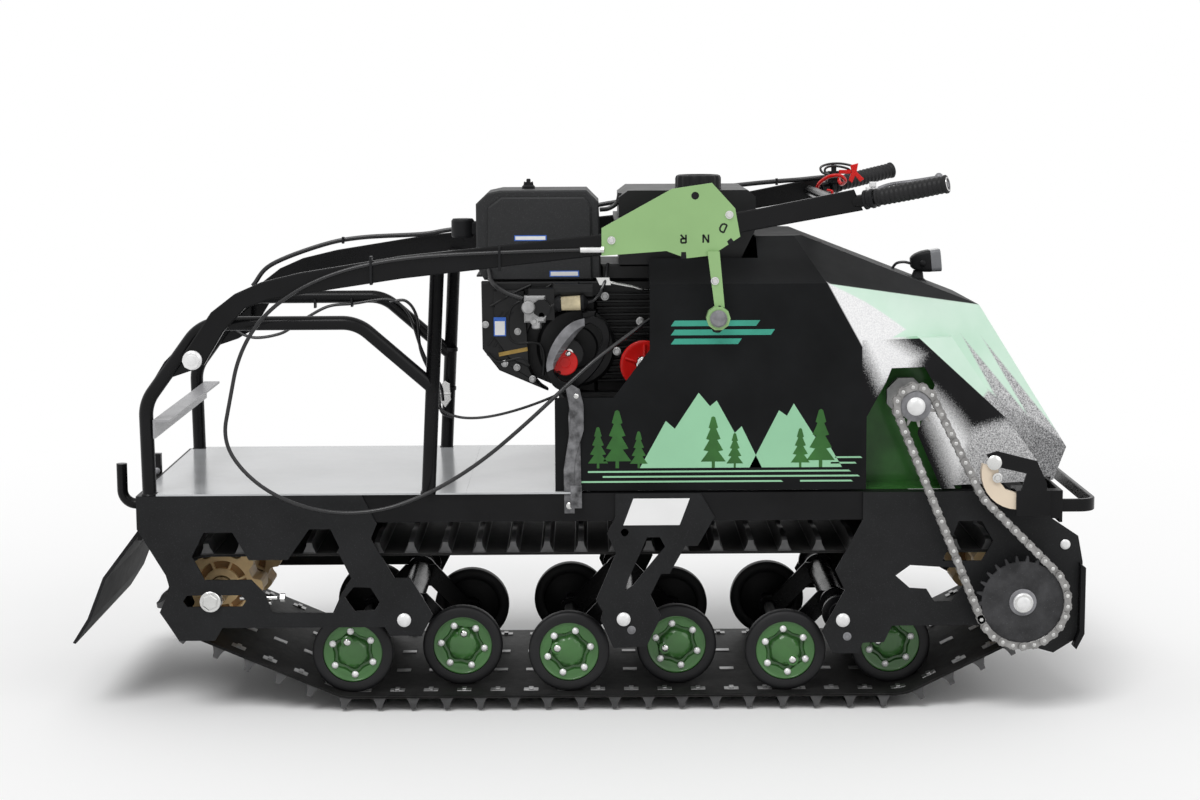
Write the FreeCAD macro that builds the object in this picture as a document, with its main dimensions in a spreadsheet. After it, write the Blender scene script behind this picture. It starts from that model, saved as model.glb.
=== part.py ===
# Tracked snow towing vehicle: a rubber-tracked power sled that is steered by a folding
# handlebar, carries boxes on a flat rear deck and pulls a sledge from its hitch.
# Frame: millimetres, +X forward, +Y to the left, +Z up, z = 0 at the lug tips,
# x = 0 midway between the two track axles, y = 0 on the plane of symmetry.
import FreeCAD, Part
import math
import os
import Sketcher
from FreeCAD import Vector, Placement, Rotation

doc = FreeCAD.newDocument("snow_tug")

# ------------------------------------------------------------------ driving dimensions
sheet = doc.addObject("Spreadsheet::Sheet", "Dimensions")
DIMS = [
    # running gear
    ("wheelbase", 1437), ("axle_height", 212), ("track_width", 500), ("belt_thick", 6),
    ("lug_height", 25), ("lug_base", 21), ("lug_tip", 10), ("lug_slope", 28), ("lug_count", 56),
    ("pitch_radius", 78.6), ("star_teeth", 8), ("star_width", 70), ("star_spread", 115),
    ("roller_radius", 73), ("disc_radius", 54), ("roller_width", 26), ("roller_pitch", 196),
    ("bogie_pitch", 391), ("bogie_mid_x", 16), ("pivot_height", 174), ("wide_pair", 215),
    ("narrow_pair", 165), ("bogie_arm_plane", 130), ("bogie_arm_thick", 6), ("bogie_axle", 12),
    # chassis, plates and deck
    ("side_gap", 17), ("plate_thick", 5), ("fit_gap", 0.2), ("rail_bottom", 352),
    ("rail_height", 50), ("rail_width", 25), ("rail_rear", -840), ("rail_front", 790),
    ("end_plate", 6), ("deck_front", -262), ("platform_front", -60), ("deck_thick", 3),
    # rack, hitch and bumper
    ("hoop_tube", 12.5), ("hoop_top", 707), ("post_x", -329), ("post_top", 800),
    ("hook_rod", 10), ("hook_x", -926), ("hook_top", 418), ("latch_x", -866),
    ("bumper_reach", 69), ("bumper_height", 24), ("bumper_thick", 8),
    # chain drive
    ("chain_gap", 44), ("chain_pitch", 19.05), ("chain_width", 16), ("link_height", 18),
    ("link_plate", 2.5), ("big_teeth", 26), ("small_teeth", 11), ("jack_x", 525),
    ("jack_z", 562), ("jack_radius", 12.5), ("guide_x", 705), ("guide_z", 443), ("guide_radius", 64),
    # handlebar
    ("arm_gap", 12), ("arm_width", 12), ("arm_pivot_x", -736),
    ("arm_pivot_z", 646), ("grip_radius", 16), ("grip_length", 128), ("cable_radius", 3.5),
    # bodywork and engine
    ("hood_inset", 10), ("hood_skin", 3), ("hood_front", 825), ("hood_ridge", 849),
    ("engine_top", 770), ("tank_lift", 30), ("tank_height", 132), ("cleaner_height", 164),
]
for row, (alias, value) in enumerate(DIMS, start=1):
    sheet.set("A%d" % row, alias)
    sheet.set("B%d" % row, str(value))
    sheet.setAlias("B%d" % row, alias)
doc.recompute()


def dim(alias):
    return float(sheet.get(alias))


def cell(alias):
    """The expression that reads one dimension."""
    return "Dimensions." + alias


# ------------------------------------------------------------------ derived places
FIT = dim("fit_gap")
AXLE_X = dim("wheelbase") / 2
AXLE_Z = dim("axle_height")
HALF = dim("track_width") / 2
PLATE_IN = HALF + dim("side_gap")
PLATE_OUT = PLATE_IN + dim("plate_thick")
RAIL_OUT = PLATE_IN - FIT
RAIL_IN = RAIL_OUT - dim("rail_width")
RAIL_LOW = dim("rail_bottom")
RAIL_TOP = RAIL_LOW + dim("rail_height")
RAIL_REAR = dim("rail_rear")
RAIL_FRONT = dim("rail_front")
REAR_FACE = RAIL_REAR - dim("end_plate")
FRONT_FACE = RAIL_FRONT + dim("end_plate")
DECK_LOW = RAIL_TOP + FIT
DECK_TOP = DECK_LOW + dim("deck_thick")
ROLLER_Z = dim("lug_height") + dim("belt_thick") + dim("roller_radius") + FIT
BOGIES = [dim("bogie_mid_x") + k * dim("bogie_pitch") for k in (-1, 0, 1)]
PIVOT_Z = dim("pivot_height")
TUBE = dim("hoop_tube")
HOOP_Y = -(PLATE_OUT - TUBE - 1)
CHAIN_Y = -(PLATE_OUT + dim("chain_gap"))
ARM_IN = PLATE_OUT + dim("arm_gap")
ARM_OUT = ARM_IN + dim("arm_width")
ARM_Y = (ARM_IN + ARM_OUT) / 2
HOOD_HALF = PLATE_OUT - dim("hood_inset")
JACK_X, JACK_Z = dim("jack_x"), dim("jack_z")
BIG_R = dim("chain_pitch") / (2 * math.sin(math.pi / dim("big_teeth")))
SMALL_R = dim("chain_pitch") / (2 * math.sin(math.pi / dim("small_teeth")))
PIVOT_X, PIVOT_ARM_Z = dim("arm_pivot_x"), dim("arm_pivot_z")

NODES = []


# ------------------------------------------------------------------ document helpers
def node(obj, label):
    """Register an object as a sub-part; its label names its file."""
    obj.Label = label
    NODES.append(obj)
    return obj


def plane_of(body, role):
    for origin_feature in body.Origin.OriginFeatures:
        if origin_feature.Role == role:
            return origin_feature
    raise RuntimeError("no plane " + role)


def closed_line(sketch, points):
    """A closed run of joined line segments."""
    first = sketch.GeometryCount
    count = len(points)
    for i in range(count):
        a, b = points[i], points[(i + 1) % count]
        sketch.addGeometry(Part.LineSegment(Vector(a[0], a[1], 0), Vector(b[0], b[1], 0)), False)
    for i in range(count):
        sketch.addConstraint(Sketcher.Constraint("Coincident", first + i, 2, first + (i + 1) % count, 1))


def body_sketch(body, role, offset, polygons=(), circles=()):
    sketch = body.newObject("Sketcher::SketchObject", body.Name + "_sketch")
    sketch.AttachmentSupport = [(plane_of(body, role), "")]
    sketch.MapMode = "FlatFace"
    sketch.setExpression("AttachmentOffset.Base.z", offset)
    for polygon in polygons:
        closed_line(sketch, polygon)
    for x, y, radius in circles:
        sketch.addGeometry(Part.Circle(Vector(x, y, 0), Vector(0, 0, 1), radius), False)
    return sketch


def padded(name, role, offset, length, polygons, circles=()):
    """A flat piece: a sketch on one of the body's own planes, padded to its thickness.

    On XZ_Plane the offset and the pad run towards -Y, on XY_Plane towards +Z and on
    YZ_Plane towards +X.
    """
    body = doc.addObject("PartDesign::Body", name)
    sketch = body_sketch(body, role, offset, polygons, circles)
    pad = body.newObject("PartDesign::Pad", name + "_pad")
    pad.Profile = sketch
    pad.setExpression("Length", length)
    sketch.Visibility = False
    return body


def both_sides(obj, label):
    """The right-hand piece and its mirror image as one sub-part."""
    mirror = doc.addObject("Part::Mirroring", label + "_left")
    mirror.Source = obj
    mirror.Base = Vector(0, 0, 0)
    mirror.Normal = Vector(0, 1, 0)
    pair = doc.addObject("Part::Compound", label + "_pair")
    pair.Links = [obj, mirror]
    return node(pair, label)


def feature(label, shape):
    obj = doc.addObject("Part::Feature", label + "_shape")
    obj.Shape = shape
    return node(obj, label)


# ------------------------------------------------------------------ shape helpers
def near(origin, pairs):
    """Points given as steps from a named place."""
    return [(origin[0] + dx, origin[1] + dz) for dx, dz in pairs]


def box(x0, x1, y0, y1, z0, z1):
    return Part.makeBox(x1 - x0, y1 - y0, z1 - z0, Vector(x0, y0, z0))


def rod(x, y0, y1, z, radius):
    """A round bar along Y."""
    return Part.makeCylinder(radius, y1 - y0, Vector(x, y0, z), Vector(0, 1, 0))


def prism(points, y0, y1):
    """An XZ outline carried from y0 to y1."""
    corners = [Vector(x, y0, z) for x, z in points]
    face = Part.Face(Part.makePolygon(corners + corners[:1]))
    return face.extrude(Vector(0, y1 - y0, 0))


def regular(cx, cz, radius, sides, turn=0.0):
    """Corners of a regular polygon."""
    step = 2 * math.pi / sides
    return [(cx + radius * math.cos(turn + i * step), cz + radius * math.sin(turn + i * step))
            for i in range(sides)]


def flip(shape):
    return shape.mirror(Vector(0, 0, 0), Vector(0, 1, 0))


def mirrored_pair(shape):
    return Part.makeCompound([shape, flip(shape)])


def rounded_path(points, bend):
    """Straight runs joined by tangent arcs; bend is the radius asked for at each corner."""
    edges = []
    start = Vector(*points[0])
    for i in range(1, len(points) - 1):
        p, q, r = Vector(*points[i - 1]), Vector(*points[i]), Vector(*points[i + 1])
        u, v = (p - q).normalize(), (r - q).normalize()
        half = u.getAngle(v) / 2
        back = min(bend / math.tan(half), 0.45 * (p - q).Length, 0.45 * (r - q).Length)
        a, b = q + u * back, q + v * back
        inward = (u + v).normalize()
        radius = back * math.tan(half)
        middle = q + inward * (radius / math.sin(half) - radius)
        edges.append(Part.LineSegment(start, a).toShape())
        edges.append(Part.Arc(a, middle, b).toShape())
        start = b
    edges.append(Part.LineSegment(start, Vector(*points[-1])).toShape())
    return Part.Wire(edges)


def swept(section, path):
    return path.makePipeShell([section], True, False, 2)


def ring_across(centre, direction, radius, sides):
    """A regular polygon square to a direction, with a corner towards Y, as a section to sweep."""
    along = Vector(direction).normalize()
    aside = along.cross(Vector(0, 1, 0)).normalize()
    third = along.cross(aside)
    turn = 0 if sides % 4 == 0 else 0.5
    corners = [centre + aside * (radius * math.cos(2 * math.pi * (k + turn) / sides))
               + third * (radius * math.sin(2 * math.pi * (k + turn) / sides)) for k in range(sides)]
    return Part.makePolygon(corners + corners[:1])


def strut(start, run, radius, sides):
    """A straight many-sided bar."""
    return Part.Face(ring_across(start, run, radius, sides)).extrude(run)


def bar(x, y0, y1, z, radius, sides=12):
    """A many-sided bar along Y."""
    return prism(regular(x, z, radius, sides, math.pi / sides), y0, y1)


def tube(points, radius, bend, sides):
    """A many-sided bar bent along a path."""
    start = Vector(*points[0])
    return swept(ring_across(start, Vector(*points[1]) - start, radius, sides), rounded_path(points, bend))


def cord(points, radius):
    """A limp cable: each arc is as large as its two runs allow."""
    route = [Vector(*p) for p in points]
    edges = []
    start = route[0]
    for p, q, r in zip(route, route[1:], route[2:]):
        u, v = (p - q).normalize(), (r - q).normalize()
        half = u.getAngle(v) / 2
        back = 0.45 * min((p - q).Length, (r - q).Length)
        a, b = q + u * back, q + v * back
        inward = (u + v).normalize()
        bend = back * math.tan(half)
        middle = q + inward * (bend / math.sin(half) - bend)
        edges.append(Part.LineSegment(start, a).toShape())
        edges.append(Part.Arc(a, middle, b).toShape())
        CORD_BENDS.append(round(bend, 1))
        start = b
    edges.append(Part.LineSegment(start, route[-1]).toShape())
    path = Part.Wire(edges)
    solid = swept(ring_across(route[0], route[1] - route[0], radius, 5), path)
    area = 5 * radius ** 2 * math.sin(2 * math.pi / 5) / 2
    CORD_SIZES.append((round(path.Length, 1), round(solid.Volume / (area * path.Length), 4)))
    return solid


CORD_BENDS = []
CORD_SIZES = []


# ------------------------------------------------------------------ loops over wheels
def loop_runs(wheels, offset=0.0):
    """Tangent runs and arcs of a closed loop over wheels (x, z, radius, side).

    Side is 1 where the loop turns left round the wheel and -1 where the wheel presses on
    the loop from outside. A positive offset moves the loop away from its inside.
    """
    runs = []
    count = len(wheels)
    sized = [(x, z, radius + side * offset, side) for x, z, radius, side in wheels]
    lines = []
    for i in range(count):
        (x0, z0, r0, s0), (x1, z1, r1, s1) = sized[i], sized[(i + 1) % count]
        reach = math.hypot(x1 - x0, z1 - z0)
        heading = math.atan2(z1 - z0, x1 - x0) - math.asin((s1 * r1 - s0 * r0) / reach)
        nx, nz = -math.sin(heading), math.cos(heading)
        lines.append((heading, (x0 - s0 * r0 * nx, z0 - s0 * r0 * nz), (x1 - s1 * r1 * nx, z1 - s1 * r1 * nz)))
    for i in range(count):
        x, z, radius, side = sized[i]
        turn = (side * (lines[i][0] - lines[i - 1][0])) % (2 * math.pi)
        runs.append(("arc", x, z, radius, side, lines[i - 1][0], turn))
        runs.append(("line", lines[i][0], lines[i][1], lines[i][2]))
    return runs


def loop_wire(wheels, offset, y):
    edges = []
    for run in loop_runs(wheels, offset):
        if run[0] == "line":
            a, b = run[2], run[3]
            edges.append(Part.LineSegment(Vector(a[0], y, a[1]), Vector(b[0], y, b[1])).toShape())
        else:
            corners = [arc_point(run, share) for share in (0, 0.5, 1)]
            edges.append(Part.Arc(*[Vector(px, y, pz) for px, pz in corners]).toShape())
    return Part.Wire(edges)


def arc_point(run, share):
    _, x, z, radius, side, heading, turn = run
    angle = heading + side * turn * share
    return (x + side * radius * math.sin(angle), z - side * radius * math.cos(angle))


def loop_stations(wheels, count, start):
    """Evenly spaced places round a loop: (x, z, heading), the first one 'start' along it."""
    runs = loop_runs(wheels)
    lengths = [math.dist(run[2], run[3]) if run[0] == "line" else run[3] * run[6] for run in runs]
    total = sum(lengths)
    places = []
    for k in range(count):
        along = (start + k * total / count) % total
        for run, length in zip(runs, lengths):
            if along <= length:
                break
            along -= length
        share = along / length
        if run[0] == "line":
            (ax, az), (bx, bz) = run[2], run[3]
            places.append((ax + (bx - ax) * share, az + (bz - az) * share, run[1]))
        else:
            px, pz = arc_point(run, share)
            places.append((px, pz, run[5] + run[4] * run[6] * share))
    return places, total


def loop_band(wheels, inner, outer, y0, y1):
    """A flat band that follows the loop between two offsets."""
    width = Vector(0, y1 - y0, 0)
    whole = Part.Face(loop_wire(wheels, outer, y0)).extrude(width)
    return whole.cut(Part.Face(loop_wire(wheels, inner, y0)).extrude(width))


# ------------------------------------------------------------------ chassis
def chassis():
    """Two side rails joined by cross members, with a plate across each end."""
    side = box(RAIL_REAR, RAIL_FRONT, -RAIL_OUT, -RAIL_IN, RAIL_LOW, RAIL_TOP)
    frame = side.fuse(flip(side))
    cross_x = [RAIL_REAR + 30, BOGIES[0] - 25, BOGIES[1] - 36, BOGIES[2] + 33, RAIL_FRONT - 25]
    for x in cross_x:
        frame = frame.fuse(box(x - 20, x + 20, -RAIL_IN, RAIL_IN, RAIL_LOW + 12, RAIL_TOP - 8))
    frame = frame.fuse(box(REAR_FACE, RAIL_REAR, -RAIL_OUT, RAIL_OUT, RAIL_LOW - 30, RAIL_TOP))
    frame = frame.fuse(box(RAIL_FRONT, FRONT_FACE, -RAIL_OUT, RAIL_OUT, RAIL_LOW - 7, RAIL_TOP))
    return frame.removeSplitter()


feature("chassis_rails", chassis())

# ------------------------------------------------------------------ laser-cut side plates
AXLE_REAR, AXLE_FRONT = (-AXLE_X, AXLE_Z), (AXLE_X, AXLE_Z)
FIRST, MIDDLE, LAST = [(x, PIVOT_Z) for x in BOGIES]
PLATE_TOP = RAIL_TOP

rear_outline = (
    [(REAR_FACE, PLATE_TOP), (REAR_FACE, RAIL_LOW - 9)]
    + near(AXLE_REAR, [(-78.5, 47), (-72.5, 23), (-91.5, -20), (-78.5, -40), (-58.5, -72), (5.5, -72), (19.5, -49)])
    + near(FIRST, [(-35, -11), (-25, -27), (31, -27), (51, 11), (12, 78), (-16, 78)])
    + near((FIRST[0], RAIL_LOW), [(-57, -29), (-46, -2)]) + [(FIRST[0] - 72, PLATE_TOP)])
rear_windows = [
    near(AXLE_REAR, [(-9.5, 124), (41.5, 124), (69.5, 74), (138.5, 74), (177.5, 129), (215.5, 129), (230.5, 96),
                     (227.5, 89), (250.5, 40), (231.5, 10), (216.5, -23), (108.5, -22), (96.5, 13), (72.5, 38),
                     (-9.5, 38), (-31.5, 81)]),
    near(FIRST, [(-105, 43), (-89, 62), (-59, 61), (-43, 34), (-52, 20), (-88, 18)]),
    near(AXLE_REAR, [(-49.5, 0), (-42, 10.5), (55, 10.5), (62.5, 0), (55, -10.5), (-42, -10.5)]),
]
middle_outline = (
    [(MIDDLE[0] - 14, PLATE_TOP), (MIDDLE[0] + 137, PLATE_TOP), (MIDDLE[0] + 162, RAIL_LOW + 7)]
    + near(MIDDLE, [(132, 133), (110, 133), (82, 83), (67, 83), (48, 44), (67, 5), (41, -49), (-18, -52),
                    (-41, -1), (-37, 14), (-49, 36), (-13, 120), (-29, 156)])
    + [(MIDDLE[0] - 14, RAIL_LOW + 8)])
middle_windows = [near(MIDDLE, [(42, 149), (65, 149), (74, 132), (16, 61), (2, 51), (10, 76), (35, 132)])]
front_outline = (
    [(LAST[0] + 34, PLATE_TOP), (LAST[0] + 34, RAIL_LOW)]
    + near(LAST, [(-14, 87), (3, 51), (-37, -24), (-18, -64), (29, -64), (36, -45), (74, -44), (88, -14)])
    + near(AXLE_FRONT, [(-70.5, -52), (-18.5, -82), (37.5, -95), (65.5, -103), (114.5, -72), (114.5, 62),
                        (105.5, 109), (56.5, 142), (41.5, PLATE_TOP - AXLE_Z)]))
front_windows = [
    near(AXLE_FRONT, [(-107.5, 137), (-66.5, 137), (-45.5, 101), (-65.5, 65), (-134.5, 65)]),
    near(AXLE_FRONT, [(-192.5, 58), (-148.5, 55), (-100, 52), (-95, 24), (-118.5, -9), (-148.5, -9), (-162.5, 14),
                      (-192.5, 16), (-218.5, 39)]),
]
PLATE_OFFSET = "Dimensions.track_width / 2 + Dimensions.side_gap"
AXLE_BORE = 16.0
for label, outline, windows, holes in (
        ("side_plates_rear", rear_outline, rear_windows, []),
        ("side_plates_middle", middle_outline, middle_windows, [(MIDDLE[0] + 2.6, MIDDLE[1] + 158, 7)]),
        ("side_plates_front", front_outline, front_windows, [(AXLE_X, AXLE_Z, AXLE_BORE)])):
    plate = padded(label + "_plate", "XZ_Plane", PLATE_OFFSET, cell("plate_thick"), [outline] + windows, holes)
    both_sides(plate, label)

# ------------------------------------------------------------------ cargo deck and engine platform
FOOT_X = RAIL_REAR + TUBE + 4
POST_X = dim("post_x")
DECK_REAR = RAIL_REAR + 2
NOTCH = TUBE + 1
NOTCH_Y = -HOOP_Y - NOTCH


def deck_outline():
    """The right-hand edge has a notch for each rack foot; the left-hand edge is its mirror."""
    right = [(DECK_REAR, -NOTCH_Y), (FOOT_X + NOTCH, -NOTCH_Y), (FOOT_X + NOTCH, -PLATE_OUT),
             (POST_X - NOTCH, -PLATE_OUT), (POST_X - NOTCH, -NOTCH_Y), (POST_X + NOTCH, -NOTCH_Y),
             (POST_X + NOTCH, -PLATE_OUT), (dim("deck_front"), -PLATE_OUT)]
    return right + [(x, -y) for x, y in reversed(right)]


DECK_OFFSET = "Dimensions.rail_bottom + Dimensions.rail_height + Dimensions.fit_gap"
node(padded("deck", "XY_Plane", DECK_OFFSET, cell("deck_thick"), [deck_outline()]), "cargo_deck")
platform_rear = dim("deck_front") + FIT
platform = [(platform_rear, -PLATE_OUT), (dim("platform_front"), -PLATE_OUT),
            (dim("platform_front"), PLATE_OUT), (platform_rear, PLATE_OUT)]
node(padded("platform", "XY_Plane", DECK_OFFSET, cell("deck_thick"), [platform]), "engine_platform")

# ------------------------------------------------------------------ rack
HOOP_TOP = dim("hoop_top")
HOOP_LEAN = 2
BEND_X = PIVOT_X + 14
POST_LEAN = 21


def rack_side():
    """A bent hoop welded to a leaning post, with the gusset that carries the handlebar pivot."""
    hoop = tube([(FOOT_X, HOOP_Y, DECK_LOW), (FOOT_X - HOOP_LEAN, HOOP_Y, HOOP_TOP - 140), (BEND_X, HOOP_Y, HOOP_TOP),
                 (POST_X - 121, HOOP_Y, HOOP_TOP), (POST_X + 7, HOOP_Y, HOOP_TOP - 112)], TUBE, 70, 12)
    foot, top = Vector(POST_X, HOOP_Y, DECK_LOW), Vector(POST_X + POST_LEAN, HOOP_Y, dim("post_top"))
    sunk = foot - (top - foot) * 0.02
    post = strut(sunk, top - sunk, TUBE, 12)
    post = post.cut(box(POST_X - 60, POST_X + 60, HOOP_Y - 30, HOOP_Y + 30, DECK_LOW - 60, DECK_LOW))
    gusset = prism(near((PIVOT_X, PIVOT_ARM_Z), [(-79, -46), (-4, -21), (21, -6), (24, 54), (1, 49), (-54, -6)]),
                   HOOP_Y - 3, HOOP_Y + 3)
    return hoop.fuse(post).fuse(gusset)


side_rack = rack_side()
feature("rack_hoops", side_rack.fuse(flip(side_rack)).removeSplitter())

bar_z = HOOP_TOP - 202
bar_x = FOOT_X - HOOP_LEAN * (bar_z - DECK_LOW) / (HOOP_TOP - 140 - DECK_LOW) + TUBE + FIT
bar_y = -HOOP_Y + TUBE - 2
angle_bar = box(bar_x, bar_x + 4, -bar_y, bar_y, bar_z, bar_z + 33)
angle_bar = angle_bar.fuse(box(bar_x, bar_x + 30, -bar_y, bar_y, bar_z + 29, bar_z + 33))
feature("rack_crossbar", angle_bar.removeSplitter())

# ------------------------------------------------------------------ hitch and mud flap
HOOK_X, HOOK_TOP, HOOK_R = dim("hook_x"), dim("hook_top"), dim("hook_rod")
HOOK_Z = RAIL_LOW - 12
LATCH_X = dim("latch_x")
hook = tube([(REAR_FACE - 4.5, 0, HOOK_Z), (HOOK_X, 0, HOOK_Z), (HOOK_X, 0, HOOK_TOP - 3)], HOOK_R - FIT, 30, 8)
hook = hook.fuse(Part.makeCylinder(HOOK_R, HOOK_TOP - HOOK_Z - 29, Vector(HOOK_X, 0, HOOK_Z + 29)))
pad_plate = box(REAR_FACE - 5, REAR_FACE - FIT, -60, 60, RAIL_LOW - 28, RAIL_TOP - 8)
latch = prism([(LATCH_X, RAIL_LOW + 10), (LATCH_X, RAIL_TOP + 24), (LATCH_X + 8, RAIL_TOP + 34),
               (REAR_FACE - FIT, RAIL_TOP + 30), (REAR_FACE - FIT, RAIL_LOW + 10)], -8, 8)
keeper = strut(Vector(LATCH_X + 14, 0, RAIL_TOP + 31), Vector(7.3, 0, 29.1), 3, 6)
hitch = pad_plate.fuse(hook).fuse(latch).fuse(keeper).removeSplitter()

FLAP_Y = HALF - 5
flap_top = [(REAR_FACE - FIT, RAIL_LOW - 12), (REAR_FACE - 69, 250), (REAR_FACE - 99, 175), (REAR_FACE - 127, 131)]
flap_low = [(REAR_FACE - 122, 129), (REAR_FACE - 94, 172), (REAR_FACE - 64, 246), (REAR_FACE - FIT, RAIL_LOW - 22)]
feature("mud_flap", prism(flap_top + flap_low, -FLAP_Y, -62).fuse(prism(flap_top + flap_low, 62, FLAP_Y)).fuse(
    prism([(REAR_FACE - 16, 326), (REAR_FACE - 69, 250)] + flap_top[2:] + flap_low[:3] + [(REAR_FACE - 16, 317)],
          -62, 62)).removeSplitter())

# ------------------------------------------------------------------ rubber track
BELT = dim("belt_thick")
STAR_R = dim("pitch_radius") - BELT / 2
first_x = BOGIES[0] - dim("roller_pitch") / 2
last_x = BOGIES[2] + dim("roller_pitch") / 2
ROLL_R = dim("roller_radius") + FIT
TRACK_WHEELS = [(-AXLE_X, AXLE_Z, STAR_R, 1), (first_x, ROLLER_Z, ROLL_R, 1), (last_x, ROLLER_Z, ROLL_R, 1),
                (AXLE_X, AXLE_Z, STAR_R, 1)]


def lug_solid():
    """A paddle with raked faces and raked ends, standing on the belt at the origin, height along Y."""
    sunk = 2.0
    base, tip = dim("lug_base") / 2, dim("lug_tip") / 2
    foot, crown = HALF - 3, HALF - dim("lug_slope")
    return Part.makeWedge(-base, -sunk, -foot, -crown, -tip, base, dim("lug_height"), foot, crown, tip)


def track_solid():
    belt = loop_band(TRACK_WHEELS, 0, BELT, -HALF, HALF)
    runs = loop_runs(TRACK_WHEELS)
    lead = runs[0][3] * runs[0][6] + math.dist(runs[1][2], runs[1][3]) + runs[2][3] * runs[2][6]
    lead -= runs[3][2][0]
    places, length = loop_stations(TRACK_WHEELS, int(dim("lug_count")), lead)
    lugs = []
    for x, z, heading in places:
        tx, tz = math.cos(heading), math.sin(heading)
        ox, oz = x + tz * BELT, z - tx * BELT
        lug = lug_solid()
        lug.Placement = Placement(FreeCAD.Matrix(tx, tz, 0, ox, 0, 0, 1, 0, tz, -tx, 0, oz, 0, 0, 0, 1))
        lugs.append(lug)
    return belt.multiFuse(lugs), length


track, belt_length = track_solid()
feature("track", track)


# ------------------------------------------------------------------ track sprockets and axles
def star(cx, y0, y1):
    """A moulded star that drives the belt."""
    teeth = int(dim("star_teeth"))
    step = math.pi / teeth
    tip, root = STAR_R - FIT, STAR_R - 18
    points = [(cx + (tip if i % 2 == 0 else root) * math.cos((i + 0.5) * step),
               AXLE_Z + (tip if i % 2 == 0 else root) * math.sin((i + 0.5) * step)) for i in range(2 * teeth)]
    return prism(points, y0, y1).cut(bar(cx, y0 - 1, y1 + 1, AXLE_Z, SHAFT + 0.3))


SHAFT = 20
STUB = 10
SPREAD, STAR_W = dim("star_spread"), dim("star_width") / 2
stars = [mirrored_pair(star(cx, -SPREAD - STAR_W, -SPREAD + STAR_W)) for cx in (-AXLE_X, AXLE_X)]
feature("track_sprockets", Part.makeCompound(stars))
washer = bar(-AXLE_X, PLATE_OUT + FIT, PLATE_OUT + 5, AXLE_Z, 18.5)
rear_axle = bar(-AXLE_X, -PLATE_IN + 3, PLATE_IN - 3, AXLE_Z, SHAFT)
rear_axle = rear_axle.fuse(bar(-AXLE_X, -PLATE_OUT - 12, PLATE_OUT + 12, AXLE_Z, STUB)).fuse(washer).fuse(flip(washer))
front_axle = bar(AXLE_X, -PLATE_IN + 3, PLATE_IN - 3, AXLE_Z, SHAFT)
front_axle = front_axle.fuse(bar(AXLE_X, CHAIN_Y - 14, PLATE_OUT + 8, AXLE_Z, AXLE_BORE - 0.5))
feature("track_axles", Part.makeCompound([rear_axle, front_axle]))

# ------------------------------------------------------------------ bogies and road rollers
ROLL_HALF = dim("roller_width") / 2
BOGIE_AXLE = dim("bogie_axle")
SIDE_COUNT = 14
tyres, discs, bogies = [], [], []
tyre_ring = prism(regular(0, 0, dim("roller_radius"), SIDE_COUNT, -math.pi / 2), -ROLL_HALF, ROLL_HALF)
tyre_ring = tyre_ring.cut(prism(regular(0, 0, dim("disc_radius") + FIT, SIDE_COUNT, -math.pi / 2), -50, 50))
HUB_HALF = ROLL_HALF - 4
disc = prism(regular(0, 0, dim("disc_radius"), SIDE_COUNT, -math.pi / 2), -HUB_HALF, HUB_HALF)
for px in BOGIES:
    w0, w1 = px - dim("roller_pitch") / 2, px + dim("roller_pitch") / 2
    arm_out, arm_in = dim("bogie_arm_plane"), dim("bogie_arm_plane") - dim("bogie_arm_thick")
    outline = [(w0 - 22, ROLLER_Z - 8), (w0 - 8, ROLLER_Z - 22), (w1 + 8, ROLLER_Z - 22), (w1 + 22, ROLLER_Z - 8),
               (w1 + 22, ROLLER_Z + 12), (px + 24, PIVOT_Z + 22), (px - 24, PIVOT_Z + 22), (w0 - 22, ROLLER_Z + 12)]
    arm = prism(outline, -arm_out, -arm_in)
    bogie = arm.fuse(flip(arm)).fuse(bar(px, 0.3 - PLATE_IN, PLATE_IN - 0.3, PIVOT_Z, BOGIE_AXLE, 8))
    for wx, spread in ((w0, dim("wide_pair")), (w1, dim("narrow_pair"))):
        for y in (-spread, spread):
            place = Placement(Vector(wx, y, ROLLER_Z), Rotation())
            tyres.append(tyre_ring.transformed(place.toMatrix()))
            discs.append(disc.transformed(place.toMatrix()))
        reach = spread - HUB_HALF - FIT
        bogie = bogie.fuse(bar(wx, -reach, reach, ROLLER_Z, BOGIE_AXLE, 8))
    bogies.append(bogie.removeSplitter())
feature("roller_tyres", Part.makeCompound(tyres))
feature("roller_discs", Part.makeCompound(discs))
feature("bogies", Part.makeCompound(bogies))

# ------------------------------------------------------------------ roller chain drive
CHAIN_HALF = dim("chain_width") / 2
LINK = dim("link_height") / 2
GUIDE_X, GUIDE_Z, GUIDE_R = dim("guide_x"), dim("guide_z"), dim("guide_radius")
CHAIN_LOOP = [(AXLE_X, AXLE_Z, BIG_R, 1), (GUIDE_X, GUIDE_Z, GUIDE_R + LINK + 0.9, -1), (JACK_X, JACK_Z, SMALL_R, 1)]
LINKS = round(loop_stations(CHAIN_LOOP, 1, 0)[1] / dim("chain_pitch"))
chain_pins, chain_length = loop_stations(CHAIN_LOOP, LINKS, 0)


def chain_solid():
    """Two rows of link plates on a roller at each pin."""
    outer = [(x + LINK * math.sin(h), z - LINK * math.cos(h)) for x, z, h in chain_pins]
    inner = [(x - LINK * 0.85 * math.sin(h), z + LINK * 0.85 * math.cos(h)) for x, z, h in chain_pins]
    thick = dim("link_plate")
    solid = None
    for y0 in (CHAIN_Y - CHAIN_HALF, CHAIN_Y + CHAIN_HALF - thick):
        slab = prism(outer, y0, y0 + thick).cut(prism(inner, y0, y0 + thick))
        solid = slab if solid is None else solid.fuse(slab)
    rollers = [prism(regular(x, z, 5.6, 4, h), CHAIN_Y - CHAIN_HALF + thick - 0.5, CHAIN_Y + CHAIN_HALF - thick + 0.5)
               for x, z, h in chain_pins]
    return solid.multiFuse(rollers).removeSplitter()


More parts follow.
